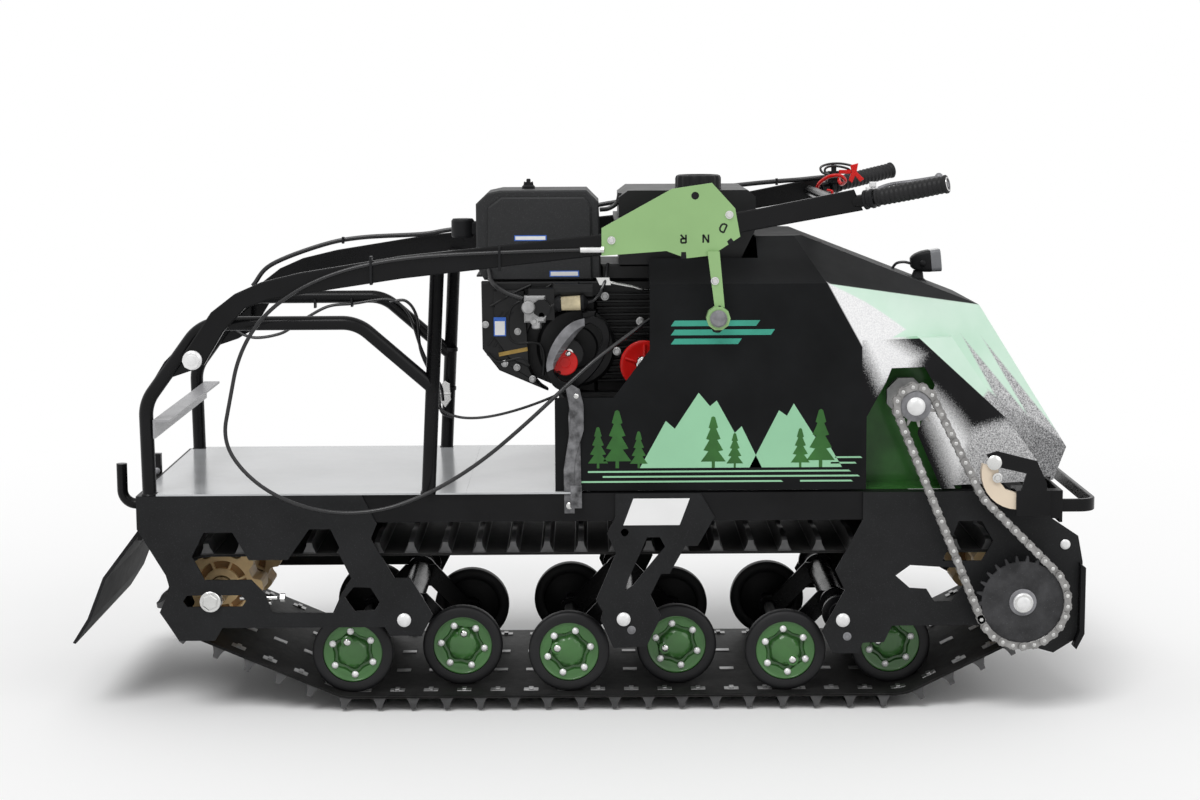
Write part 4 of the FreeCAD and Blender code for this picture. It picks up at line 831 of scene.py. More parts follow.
class SNOWTUG_OT_track(bpy.types.Operator):
    """Carry the belt round the wheels and stand its lugs and inner clips on it."""

    bl_idname = "snowtug.track"
    bl_label = "Rubber track"

    def execute(self, context):
        sizes = context.scene.snowtug_track
        thick, height = sizes.belt * 1000, sizes.height * 1000
        loop = Loop([(-AXLE_X, AXLE_Z, STAR_REACH, 1), (ROLLERS[0][0], ROLLER_Z, ROLLER_REACH, 1),
            (ROLLERS[-1][0], ROLLER_Z, ROLLER_REACH, 1), (AXLE_X, AXLE_Z, STAR_REACH, 1)])
        section = [(-250, -0.8), (-247, 0), (247, 0), (250, -0.8), (250, -2.2), (248.6, -2.9), (250, -3.6),
            (250, 1.0 - thick), (247, -thick), (-247, -thick), (-250, 1.0 - thick), (-250, -3.6),
            (-248.6, -2.9), (-250, -2.2)]
        belt = carried([(rise, wide) for wide, rise in section], loop.path(BELT_SECTIONS), ring=True)
        lead = float(loop.lengths[:3].sum() - loop.a[1, 0])
        x, z, turn = loop.at(lead + np.arange(sizes.lugs) * loop.total / sizes.lugs)
        out = np.stack([x + np.sin(turn) * thick, z - np.cos(turn) * thick], 1)
        lugs = placed(lug(height), (out[:, 0], out[:, 1], turn))
        pads = placed(raised(block(-12, 12, -249, 249, -0.6, 1.1, 0.5), -thick), (x, z, turn))
        between = loop.at(lead + loop.total / sizes.lugs / 2
            + np.arange(sizes.lugs) * loop.total / sizes.lugs)
        clip = join([block(-13, 13, y - 9, y + 9, -0.4, 1.5, 0.5) for y in (-212, -70, 70, 212)]
            + [block(-4, 4, y - 8, y + 8, 1.0, 4.5, 1.0) for y in (-212, 212)])
        clips = placed(clip, between)
        piece("track_belt", [(belt, "belt_rubber"), (lugs, "lug_rubber"), (pads, "lug_rubber"),
            (clips, "clip_steel")], stands_for=("track",))
        return {"FINISHED"}


# ---------------------------------------------------------------- road rollers
class RollerSizes(bpy.types.PropertyGroup):
    """The road rollers."""

    tyre: FloatProperty(name="Tyre radius", description="Outer radius of a roller", default=0.073,
        unit="LENGTH")
    disc: FloatProperty(name="Disc radius", description="Radius of the green disc", default=0.054,
        unit="LENGTH")


BOLT_CIRCLE, PLUG_CIRCLE = 39.8, 22.0


def wheel_rows(x, y, side, along, radius, turn):
    """A section turned about a roller's axle: x + radius x cos, y + side x along, z + radius x sin."""
    return np.stack([x + radius * np.cos(turn), y + side * np.broadcast_to(along, radius.shape),
        ROLLER_Z + radius * np.sin(turn)], 2)


class SNOWTUG_OT_rollers(bpy.types.Operator):
    """Turn the pressed green discs, their bolts and plugs, and the rubber tyres."""

    bl_idname = "snowtug.rollers"
    bl_label = "Road rollers"

    def execute(self, context):
        sizes = context.scene.snowtug_rollers
        tyre, rim = sizes.tyre * 1000, sizes.disc * 1000
        phases, plugs = (35, 53, 13, 42, 36, 18), (116, 84, 164, 199, -53, 172)
        profile = np.array([(-9, 0), (-9, rim - 4), (-7, rim), (7, rim), (8.6, rim - 1.2), (8.8, rim - 3),
            (7.6, rim - 5), (7.2, 44), (7.0, 40), (6.4, 37), (2.2, 34.5), (1.6, 30), (5.4, 27.4), (8.8, 24.6),
            (11.2, 18), (12.4, 9), (12.6, 0)], float)
        lobes = np.array([0, 0, 0, 0, 0, 0, 0, 0, 1.0, 2.6, 3.0, 2.0, 0.6, 0, 0, 0, 0])
        ring = np.array([(-12, rim), (12, rim), (12.6, rim + 2), (12.6, 58), (13, 59.5), (13, 66),
            (12.2, 69.5), (10, tyre - 0.6), (8, tyre), (-8, tyre), (-10, tyre - 0.6), (-13, 66), (-13, 57)],
            float)
        discs, backs, rings, tyres, heads, bosses, mounds = [], [], [], [], [], [], []
        for k, (x, spread) in enumerate(ROLLERS):
            for side in (-1, 1):
                y = side * spread
                t = np.linspace(0, 2 * np.pi, 48, endpoint=False)
                phase = math.radians(phases[k])
                radius = profile[:, 1, None] + lobes[:, None] * np.cos(6 * (t - phase))[None]
                rows = wheel_rows(x, y, side, profile[:, :1], radius, t)
                backs.append(grid(rows[:4], caps=False))
                discs += [grid(rows[3:10], caps=False), grid(rows[13:], caps=False)]
                # The scalloped recess takes the darker green: painted shade in the hollow.
                rings.append(grid(rows[9:14], caps=False))
                u = np.linspace(0, 2 * np.pi, 56, endpoint=False)
                radius = np.broadcast_to(ring[:, 1, None], (len(ring), len(u)))
                tyres.append(grid(wheel_rows(x, y, side, ring[:, :1], radius, u), ring=True))
                out = outward(side)
                for j in range(6):
                    a = phase + math.radians(60 * j)
                    place = (x + BOLT_CIRCLE * math.cos(a), y + side * 7.2,
                        ROLLER_Z + BOLT_CIRCLE * math.sin(a))
                    heads.append(bolt(*place, 6.2, 5.2, out, 12))
                a = math.radians(plugs[k])
                place = (x + PLUG_CIRCLE * math.cos(a), y + side * 9.6,
                    ROLLER_Z + PLUG_CIRCLE * math.sin(a))
                mounds.append(turned([(-5, 12.5), (0.4, 11.4), (1.6, 9.8), (1.6, 7.4), (0.8, 7), (0.8, 0)],
                    place, out, 20))
                bosses.append(bolt(*place, 6.4, 4.0, out, 14))
        piece("roller_wheels", [(join(discs), "roller_green"), (join(backs), "rail_black"),
            (join(rings), "roller_painted_shade"), (join(mounds), "roller_green"), (join(heads), "white_metal"),
            (join(bosses), "bright_metal")], stands_for=("roller_discs",))
        piece("roller_rings", [(join(tyres), "tyre_black")], stands_for=("roller_tyres",),
            sharp=40)
        return {"FINISHED"}


# ---------------------------------------------------------------- chain drive
class ChainSizes(bpy.types.PropertyGroup):
    """The drive chain's pitch and plates."""

    pitch: FloatProperty(name="Chain pitch", description="Distance between pins", default=0.01905,
        unit="LENGTH")
    plate: FloatProperty(name="Link plate", description="Thickness of a link plate", default=0.0024,
        unit="LENGTH")


CHAIN_Y = -316.0
JACK_X, JACK_Z, JACK_REACH = 525, 562, 33.81
SHOE_X, SHOE_Z, SHOE_REACH = 705, 443, 73.9
BIG_REACH = 79.02


class SNOWTUG_OT_chain(bpy.types.Operator):
    """Link the drive chain round both chainwheels and the shoe, and finish the wheels' hubs."""

    bl_idname = "snowtug.chain"
    bl_label = "Drive chain"

    def execute(self, context):
        sizes = context.scene.snowtug_chain
        pitch, thick, y = sizes.pitch * 1000, sizes.plate * 1000, CHAIN_Y
        loop = Loop([(AXLE_X, AXLE_Z, BIG_REACH, 1), (SHOE_X, SHOE_Z, SHOE_REACH, -1),
            (JACK_X, JACK_Z, JACK_REACH, 1)])
        count = round(loop.total / pitch)
        x, z, _ = loop.at(np.arange(count) * loop.total / count)
        turn = np.arctan2(np.roll(z, -1) - z, np.roll(x, -1) - x)
        reach = loop.total / count
        t = np.linspace(np.radians(118), np.radians(242), 6)
        left = np.stack([8.6 * np.cos(t), 8.6 * np.sin(t)], 1)
        shape = np.concatenate([[(0.30 * reach, 6.0)], left, [(0.30 * reach, -6.0)], [(0.70 * reach, -6.0)],
            np.stack([reach - left[::-1, 0], left[::-1, 1]], 1), [(0.70 * reach, 6.0)]])
        half = 8.0
        outer = join([
            slab(shape, y - half, y - half + thick, 0.5),
            slab(shape, y + half - thick, y + half, 0.5),
        ])
        inner = join([
            slab(shape, y - half + thick + 0.2, y - half + 2 * thick + 0.2, 0.4),
            slab(shape, y + half - 2 * thick - 0.2, y + half - thick - 0.2, 0.4),
        ])
        odd = np.arange(count) % 2 == 1
        plates = join([
            placed(outer, (x[odd], z[odd], turn[odd])),
            placed(inner, (x[~odd], z[~odd], turn[~odd])),
        ])
        pin = turned([(-half - 1, 0), (-half - 1, 2.2), (-half - 0.4, 3.3), (half + 0.4, 3.3),
            (half + 1, 2.2), (half + 1, 0)], (0, y, 0), RIGHT_SIDE, 12)
        roll = turned([(-3.2, 3.0), (-3.2, 5.8), (3.2, 5.8), (3.2, 3.0)], (0, y, 0), RIGHT_SIDE, 14)
        flat = np.zeros(count)
        piece("chain_links", [(plates, "chain_steel"), (placed(pin, (x, z, flat)), "pin_steel"),
            (placed(roll, (x, z, flat)), "pin_steel")], stands_for=("drive_chain",))
        hubs = [
            turned([(0, 24), (1.5, 24), (2.5, 22), (2.5, 0)], (AXLE_X, -319, AXLE_Z), RIGHT_SIDE, 36),
            turned([(0, 27), (2.5, 27), (4, 24), (4, 0)], (JACK_X, -318.6, JACK_Z), RIGHT_SIDE, 36),
        ]
        heads = [
            bolt(AXLE_X, -321, AXLE_Z, 17.5, 10.5, sides=28),
            bolt(JACK_X, -321.5, JACK_Z, 16, 9, sides=28),
            turned([(2, 13.2), (3.4, 15.6), (4.4, 14.4), (4.4, 0)], (AXLE_X, -325, AXLE_Z), RIGHT_SIDE, 28),
        ]
        piece("chainwheel_hubs", [(join(hubs), "ring_grey"), (join(heads), "white_metal")])
        return {"FINISHED"}


# ---------------------------------------------------------------- bolts, washers and flanges on the plates
class SNOWTUG_OT_plate_fittings(bpy.types.Operator):
    """Set the pivot bolts, axle bolts, tensioners and flanges on the side plates."""

    bl_idname = "snowtug.plate_fittings"
    bl_label = "Plate fittings"

    def execute(self, context):
        face = float(corner("side_plates_middle", 0)[1])
        white = [bolt(x, face, z, 12.3, 7, sides=24) for x, z in zip(BOGIE_X, (176, 175, 171))]
        white.append(bolt(801, face, 306, 9, 4, sides=20))
        axle = join([
            turned([(0, 18.6), (1.5, 18.6), (2.4, 17.4), (2.4, 0)], (-AXLE_X, face - 4.9, AXLE_Z), RIGHT_SIDE,
                32),
            turned([(2, 15), (5, 15), (7, 12.5), (7.6, 0)], (-AXLE_X, face - 4.9, AXLE_Z), RIGHT_SIDE, 6,
                0.4),
        ])
        piece("plate_bolts", [(both(join(white)), "white_metal"), (both(axle), "bright_metal")])
        small = [hex_bolt(x, face, z, 5.2, 3.6) for x, z in ((30, 155), (415, 141))]
        puller = [
            turned([(0, 0), (0, 4.2), (66, 4.2), (67, 3.4), (67, 0)], (-668, face + 12, 215), (1, 0, 0), 12),
            turned([(0, 0), (0, 8.4), (8, 8.4), (8, 0)], (-596, face + 12, 215), (1, 0, 0), 6),
            block(-640, -612, face + 4, face + 20, 204, 209, 1),
        ]
        domes = bolt(-734, -296, 647, 17, 9, sides=28)
        piece("pivot_domes", [(both(domes), "white_metal")], "handlebar")
        piece("plate_small_bolts", [(both(join(small)), "ring_grey"), (both(join(puller)), "bright_metal")])
        strip = slab([(822, 118), (836, 146), (836, 266), (826, 274), (826, 150), (816, 124)], face - 16,
            face + 2, 1.0)
        piece("front_flange", [(both(strip), "black_steel")])
        slot = block(429 - 4.6, 429 + 4.6, face - 0.5, face + 0.2, 259 - 4.6, 259 + 4.6, 0.2)
        piece("plate_marks", [(both(slot), "black_plastic")])
        return {"FINISHED"}


# ---------------------------------------------------------------- rack
def lamp_wires():
    """The leads clipped to the far hoop."""
    lines = [
        wire([(-512, 247, 694), (-562, 244, 688), (-620, 242, 656), (-654, 242, 636), (-704, 242, 628),
            (-738, 246, 640), (-748, 252, 660), (-744, 256, 684)], 3.0, 8),
        wire([(-512, 247, 694), (-438, 246, 702), (-400, 243, 672), (-378, 242, 610), (-358, 241, 563),
            (-338, 240, 529), (-334, 240, 500)], 3.0, 8),
        wire([(-438, 246, 697), (-405, 245, 699), (-384, 243, 668), (-378, 242, 605), (-362, 241, 563),
            (-344, 240, 529), (-341, 240, 492), (-334, 240, 474), (-316, 241, 466)], 3.0, 8),
    ]
    ties = [block(x - 2, x + 2, 240, 262, z - 4, z + 13, 1.0) for x, z in ((-512, 692), (-585, 690))]
    piece("lamp_wires", [(join(lines), "cable_black"), (join(ties), "black_plastic")])


def fuel_lead():
    """The short lead beside the engine."""
    route = [(-0.322, -0.243, 0.566), (-0.300, -0.232, 0.538), (-0.240, -0.205, 0.526),
        (-0.150, -0.180, 0.545), (-0.098, -0.166, 0.566)]
    line = cord_line("fuel_lead", route)
    lead = piece("fuel_lead", [(carried(circle(2.4, 8), line * 1000.0), "cable_black")])


class SNOWTUG_OT_rack(bpy.types.Operator):
    """Bend the rack tubes, stand their posts, weld the gussets, and lay the leads that the rack carries."""

    bl_idname = "snowtug.rack"
    bl_label = "Rack tubes"

    def execute(self, context):
        low, y, r = 402.2, -258.5, 12.5
        hoop = wire([(-823.5, y, low), (-825.5, y, 567), (-722, y, 707), (-450, y, 707), (-322, y, 595)], r,
            24, 70, steps=12)
        foot, top = np.array((-329.0, y, low)), np.array((-308.0, y, 800.0))
        run = unit(top - foot)
        post = carried(circle(r, 24), np.stack([foot, foot + run * 40, top - run * 3, top]))
        cap = turned([(0, r), (1.5, r), (3.4, 0.8 * r), (4.2, 0)], top - run * 3, run, 24)
        gusset = slab(np.array([(-79, -46), (-4, -21), (21, -6), (24, 54), (1, 49), (-54, -6)]) + (-736, 646),
            y - 3, y + 3, 0.8)
        welds = [turned([(0, r - 1), (0.8, r + 2.6), (3.4, r + 1.2), (5, r - 1)], p, d, 24)
            for p, d in ((foot, run), ((-823.5, y, low), UP))]
        piece("rack_tubes", [(both(join([hoop, post, cap, gusset] + welds)), "black_steel")],
            stands_for=("rack_hoops",), sharp=40)
        band = [turned([(0, r - 0.5), (0, r + 1.6), (7, r + 1.6), (7, r - 0.5)], foot + run * h, run, 20)
            for h in (196, 118)]
        clamp = join([
            slab([(-342, 500), (-330, 486), (-318, 502), (-320, 534), (-330, 540), (-340, 530)], 240, 244,
                1.0),
            block(-341, -318, 239, 246, 512, 516, 1.0),
        ])
        piece("post_bands", [(other_side(join(band)), "black_plastic"), (clamp, "bright_metal")])
        lamp_wires()
        fuel_lead()
        return {"FINISHED"}


# ---------------------------------------------------------------- bogies and sprockets
class SNOWTUG_OT_bogies(bpy.types.Operator):
    """Weld the bogie arms to their tubes and turn the axles, collars and flanges."""

    bl_idname = "snowtug.bogies"
    bl_label = "Bogies"

    def execute(self, context):
        steel, ends = [], []
        for x in BOGIE_X:
            pair = [wheel for wheel in ROLLERS if abs(wheel[0] - x) < 110]
            for side in (-1, 1):
                steel.append(slab([(x - 112, 84), (x - 84, 84), (x - 20, 150), (x + 20, 150), (x + 84, 84),
                    (x + 112, 84), (x + 112, 122), (x + 94, 124), (x + 30, 192), (x - 30, 192), (x - 94, 124),
                    (x - 112, 122)], *sorted((side * 124, side * 130)), 1.0))
            steel.append(turned([(-236, 20), (-234, 22), (234, 22), (236, 20)], (x, 0, BOGIE_Z), RIGHT_SIDE,
                28))
            for side in (-1, 1):
                out = outward(side)
                steel.append(turned([(0, 22), (0, 30), (7, 30), (8, 29), (8, 22)], (x, side * 150, BOGIE_Z),
                    out, 28))
                steel.append(turned([(0, 22), (0, 33), (8, 33), (9, 32), (9, 22)], (x, side * 226, BOGIE_Z),
                    out, 28))
                for wx, spread in pair:
                    ends.append(turned([(-124, 12), (spread - 10, 12), (spread + 5, 12), (spread + 5, 0)],
                        (wx, 0, ROLLER_Z), out, 20))
                    steel.append(turned([(0, 12), (0, 19), (14, 19), (15, 18), (15, 12)],
                        (wx, side * 131, ROLLER_Z), out, 24))
        piece("bogie_frames", [(join(steel), "black_steel"), (join(ends), "rail_black")],
            stands_for=("bogies",))
        return {"FINISHED"}


class SprocketSizes(bpy.types.PropertyGroup):
    """The track sprockets."""

    teeth: IntProperty(name="Sprocket teeth", description="Teeth on each track sprocket", default=8)
    width: FloatProperty(name="Sprocket width", description="Width of each track sprocket", default=0.070,
        unit="LENGTH")


TOOTH_ROOT, TOOTH_DEPTH = 57.6, 17.4


class SNOWTUG_OT_sprockets(bpy.types.Operator):
    """Mould the four tan track sprockets with their pockets, ribs and hub rings."""

    bl_idname = "snowtug.sprockets"
    bl_label = "Track sprockets"

    def execute(self, context):
        sizes = context.scene.snowtug_sprockets
        half, teeth = sizes.width * 500, sizes.teeth
        t = np.linspace(0, 2 * np.pi, teeth * 14, endpoint=False)
        wave = 0.5 + 0.5 * np.tanh(3.2 * np.cos(teeth * t)) / math.tanh(3.2)
        outline = TOOTH_ROOT + TOOTH_DEPTH * wave
        body, dark = [], []
        for x in (-AXLE_X, AXLE_X):
            for y in (-SPROCKET_Y, SPROCKET_Y):
                rows = []
                for along, scale, least in ((-half + 9, 0, 20), (-half + 9, 0, 46), (-half, 0, 48),
                        (-half, 1, 0), (half, 1, 0), (half, 0, 48), (half - 9, 0, 46), (half - 9, 0, 20)):
                    radius = outline * scale + least
                    rows.append(np.stack([x + radius * np.cos(t), np.full(len(t), y + along),
                        AXLE_Z + radius * np.sin(t)], 1))
                body.append(grid(np.stack(rows)))
                for side in (-1, 1):
                    out = outward(side)
                    body.append(turned([(-9, 34), (1.5, 34), (2.5, 32), (2.5, 21), (-9, 20)],
                        (x, y + side * (half - 1), AXLE_Z), out, 36))
                    spokes = placed(block(33, 48, -9, 0.6, -2.2, 2.2, 0.5),
                        (np.full(teeth, x), np.full(teeth, AXLE_Z),
                        2 * np.pi * (np.arange(teeth) + 0.5) / teeth))
                    spokes[0][:, 1] = y + side * (half - 1 + spokes[0][:, 1])
                    body.append(spokes)
                    # A darker tan sheet on each pocket floor: painted shade in the pocket.
                    dark.append(turned([(-8.6, 46), (-8.4, 20)], (x, y + side * half, AXLE_Z), out, 36))
        piece("sprocket_wheels", [(join(body), "tan_plastic"), (join(dark), "tan_painted_shade")],
            stands_for=("track_sprockets",))
        return {"FINISHED"}


# ---------------------------------------------------------------- handlebar
GRIP_FOOT = np.array((418.0, -288.0, 915.0))


class GripSizes(bpy.types.PropertyGroup):
    """The rubber grips."""

    length: FloatProperty(name="Grip length", description="Length of a rubber grip", default=0.128,
        unit="LENGTH")
    radius: FloatProperty(name="Grip radius", description="Greatest radius of a rubber grip", default=0.016,
        unit="LENGTH")
    ribs: IntProperty(name="Grip rings", description="Rings moulded round a grip", default=15)


class SNOWTUG_OT_grips(bpy.types.Operator):
    """Mould the ringed rubber grips, their collars and end caps."""

    bl_idname = "snowtug.grips"
    bl_label = "Handlebar grips"

    def execute(self, context):
        sizes = context.scene.snowtug_grips
        length, radius = sizes.length * 1000, sizes.radius * 1000
        foot, run = GRIP_FOOT, unit((1.0, -0.45, 0.22))
        along = np.linspace(9, length - 9, sizes.ribs * 6)
        rings = 0.5 + 0.5 * np.cos(2 * np.pi * along * sizes.ribs / length)
        swell = radius - 1.0 - 1.1 * rings + 0.8 * np.sin(np.pi * along / length)
        profile = [(0, radius - 4), (0, radius), (3, radius), (4.5, radius - 2.2)] + [(a, min(s, radius))
            for a, s in zip(along.tolist(), swell.tolist())] + [(length - 5, radius), (length - 1.5, radius),
            (length, radius - 1.6), (length, radius - 5)]
        rubber = turned(profile, foot + run * 41, run, 32)
        cap = turned([(-2, 10.8), (0, 10.8), (0.6, 9.6), (-1.4, 8), (-1.4, 6.2), (0.2, 5.4), (0.2, 0)],
            foot + run * (41 + length), run, 28)
        cap_ring = turned([(-0.6, 10.6), (0.8, 10.6), (0.8, 12.2), (-0.2, 12.6), (-0.6, 12.6)],
            foot + run * (41 + length), run, 28)
        collar = join([
            turned([(19, 11), (19, 16), (20, 17), (24, 17), (25, 15.2), (31, 15.2), (32, 17), (36, 17),
                (37, 16), (37, 11)], foot, run, 28),
            hex_bolt(*(foot + run * 28 + np.array((4, -14.0, 3))), 3.6, 3.6, (0.2, -1.0, 0.2)),
        ])
        piece("grip_rubbers", [(both(rubber), "tyre_black")], "handlebar", stands_for=("handle_grips",))
        piece("grip_ends", [(both(cap), "ring_grey"), (both(cap_ring), "bright_metal"),
            (both(collar), "black_plastic")], "handlebar")
        return {"FINISHED"}


def brake_lever():
    """A curved lever with a knob, its clamp and a blue dot."""
    path = smooth(np.array([(29, 2, 15), (40, 5, 22), (64, 9, 30), (104, 0, 36), (144, -14, 43)])
        + GRIP_FOOT)
    lever = carried(circle(4, 12) * (0.8, 1.3), path)
    knob = turned([(-7, 0), (-6, 4.5), (-3, 6.8), (0, 7.4), (3, 6.8), (6, 4.5), (7, 0)], path[-1],
        unit(path[-1] - path[-2]), 20)
    clamp = join([block(438, 458, -296, -282, 925, 941, 2), block(444, 455, -297, -284, 940, 950, 2)])
    dot = bolt(447, -296, 933, 3.6, 1.6, sides=14)
    piece("brake_lever", [(join([lever, knob]), "ring_grey"), (clamp, "white_metal"),
        (dot, "label_blue")], "handlebar", stands_for=("hand_controls",))


def stop_switch():
    """The switch's housing and its red tab."""
    housing = join([
        block(431, 455, 268.5, 285.5, 926.5, 949.5, 3),
        block(437, 447, 262, 270, 934, 962, 2),
    ])
    tab = join([
        slab([(474, 961), (490, 965), (487, 948), (502, 934), (494, 928), (484, 940), (478, 926), (471, 932),
            (477, 948)], 262, 266, 1.0),
        block(452, 476, 263, 267, 944, 952, 1),
    ])
    piece("stop_switch", [(housing, "black_plastic"), (tab, "red_paint")], "handlebar")


def switch_cord():
    """The red cord between the switch and the bar, and its curl."""
    arc = wire([(402, 214, 915), (408, 196, 930), (424, 180, 942), (444, 176, 944), (456, 186, 934),
        (452, 210, 926), (450, 236, 930), (452, 262, 934)], 3.4, 10)
    curl = wire([(420, 236, 908), (426, 230, 902), (434, 226, 906), (434, 224, 912), (426, 230, 914)],
        2.4, 8)
    piece("switch_cord", [(join([arc, curl]), "red_paint")], "handlebar")


def switch_wires():
    """The switch's loops and the lead along the far arm, with its ties."""
    loops = wire([(486, 272, 950), (482, 268, 958), (459, 262, 964), (434, 260, 964), (416, 258, 958),
        (418, 256, 948), (432, 258, 942)], 2.3, 8)
    second = wire([(478, 274, 947), (470, 270, 954), (450, 264, 959), (430, 262, 958), (424, 262, 950),
        (436, 262, 941)], 2.3, 8)
    leads = [
        wire([(-120, 276, 868), (20, 276, 892), (150, 276, 911), (267, 276, 924), (321, 276, 929),
            (375, 274, 933), (404, 270, 936), (428, 268, 938)], 4.5, 10),
        wire([(-120, 276, 868), (-200, 277, 854), (-321, 278, 837), (-375, 278, 829), (-494, 278, 823),
            (-574, 278, 808), (-674, 278, 770), (-712, 277, 728)], 4.5, 10),
    ]
    ties = [block(x - 2.2, x + 2.2, 268, 283, z - 6.5, z + 6.5, 1.2)
        for x, z in ((140, 908), (330, 929), (-260, 846), (-530, 818))]
    piece("switch_wires", [(join([loops, second] + leads), "cable_black"), (join(ties), "black_plastic")],
        "handlebar")


class SNOWTUG_OT_hand_controls(bpy.types.Operator):
    """Bend the brake lever, clip on the stop switch and lay their red cord and loops."""

    bl_idname = "snowtug.hand_controls"
    bl_label = "Hand controls"

    def execute(self, context):
        brake_lever()
        stop_switch()
        switch_cord()
        switch_wires()
        return {"FINISHED"}


STROKE = 3.0


def letter(strokes, x, z, size, y, turn=0.0):
    """Strokes of a raised letter, each from one point to another of a unit square, upside down to
    face the rider.
    """
    parts = []
    for (x0, z0), (x1, z1) in strokes:
        a, b = np.array((x0, z0)), np.array((x1, z1))
        run = unit(b - a)
        side = np.array((-run[1], run[0])) * STROKE / 2
        ends = [a * size - side, b * size - side, b * size + side, a * size + side]
        c, s = math.cos(math.radians(turn)), math.sin(math.radians(turn))
        parts.append(slab([(x - p[0] * c + p[1] * s, z - p[0] * s - p[1] * c) for p in ends], y - 0.35,
            y + 0.3, 0.1))
    return join(parts)


class SNOWTUG_OT_selector(bpy.types.Operator):
    """Fit the selector's lever joint, its bolts and the gear letters on the green plate."""

    bl_idname = "snowtug.selector"
    bl_label = "Selector"

    def execute(self, context):
        face = float(corner("selector_plate", 0)[1])
        knob = turned([(0, 13), (1, 15), (5, 15), (8, 12), (9, 6), (9, 0)], (182, -312, 716),
            RIGHT_SIDE, 28)
        ball = turned([(-26, 0), (-25, 6), (-20, 10), (-12, 11), (-2, 9), (6, 6.4), (10, 5.8), (22, 5.8)],
            (182, -300, 716), (0.12, 0.0, 1.0), 22)
        piece("selector_joint", [(knob, "ring_grey"), (ball, "black_plastic")], "handlebar")
        heads = [hex_bolt(x, y, z, 5.4, 4.4, washer=7.2) for x, y, z in ((-3, face, 852), (201, face, 895),
            (176, -305.2, 781))]
        hole = [turned([(0, 0), (0.35, 5.2), (0.35, 0)], (141, face, 928), RIGHT_SIDE, 20)]
        piece("selector_bolts", [(join(heads), "bright_metal"), (join(hole), "black_plastic")], "handlebar")
        r = [((0, 0), (0, 1)), ((0, 1), (0.6, 1)), ((0.6, 1), (0.6, 0.5)), ((0.6, 0.5), (0, 0.5)),
            ((0.2, 0.5), (0.65, 0))]
        n = [((0, 0), (0, 1)), ((0, 1), (0.65, 0)), ((0.65, 0), (0.65, 1))]
        d = [((0, 0), (0, 1)), ((0, 1), (0.45, 1)), ((0.45, 1), (0.65, 0.75)), ((0.65, 0.75), (0.65, 0.25)),
            ((0.65, 0.25), (0.45, 0)), ((0.45, 0), (0, 0))]
        marks = join([
            letter(r, 126, 861, 14, face),
            letter(n, 165, 861, 14, face),
            letter(d, 197, 877, 14, face, turn=-24),
        ])
        notches = join([
            slab([(117, 819.5), (127, 819.5), (126, 831), (118, 831)], face - 0.3, face + 0.3, 0.1),
            slab([(200, 843), (209, 849), (204, 855), (197, 849)], face - 0.3, face + 0.3, 0.1),
        ])
        piece("gear_letters", [(marks, "black_plastic"), (notches, "black_plastic")], "handlebar")
        return {"FINISHED"}


# ---------------------------------------------------------------- engine
FAN_PULLEY, DRIVE_PULLEY = (-80, 642), (56, 622)
SHROUD_FACE = -166.0
FILTER_FOOT, FILTER_RUN = (-98, -200, 733), (1, 0, 0.04)


def engine_castings():
    """The crankcase and cylinder blocks, their fins, the shroud, shafts and plugs."""
    arc = [(-65 + 92 * math.cos(a), 648 + 92 * math.sin(a))
        for a in np.radians(np.linspace(235.7, 90, 26))]
    cover = join([
        slab([(-60, 740), (-60, 769), (-236, 769), (-235, 648), (-205, 609), (-119, 572)] + arc, -160, -128.3,
            2.5),
        slab([(-214, 754), (-213, 668), (-188, 632), (-150, 614), (-154, 690), (-158, 754)], -166, -158, 2.0),
        block(-61, -16, -160, -131, 742, 769, 2),
    ])
    case = join([
        slab([(-224, 769), (-224, 664), (-204, 626), (-150, 596), (-112, 580), (-60, 566), (-30, 562),
            (-30, 770)], -128, 150, 4.0),
        block(-96, 240, -150, 150, 430, 566, 7),
        block(-31, 226, -114, 86, 560, 769, 4),
        block(70, 200, -128, 90, 767, 799.7, 6),
        block(-21, 72, -132, 70, 769, 798, 4),
        turned([(0, 72), (10, 72), (14, 66), (14, 40), (10, 36), (10, 0)], (-66, -128, 648), RIGHT_SIDE, 48),
    ])
    fins = join([block(-30, 236, -130, 100, z, z + 4.5, 1.2) for z in range(584, 752, 12)])
    shafts = join([
        turned([(0, 9), (60, 9), (60.5, 8), (60.5, 0)], (FAN_PULLEY[0], -128, FAN_PULLEY[1]), RIGHT_SIDE, 20),
        turned([(0, 14), (60, 14), (60.5, 13), (60.5, 0)], (DRIVE_PULLEY[0], -128, DRIVE_PULLEY[1]),
            RIGHT_SIDE, 20),
    ])
    plugs = join([hex_bolt(x, -150, z, 8, 7, washer=12) for x, z in ((-70, 470), (110, 452), (214, 530))]
        + [turned([(0, 16), (6, 17), (12, 16), (14, 12), (14, 0)], (170, -150, 500), RIGHT_SIDE, 12)])
    piece("engine_castings", [(case, "engine_black"), (fins, "engine_black"), (cover, "engine_black"),
        (shafts, "bright_metal"), (plugs, "ring_grey")], stands_for=("engine", "engine_shroud"))


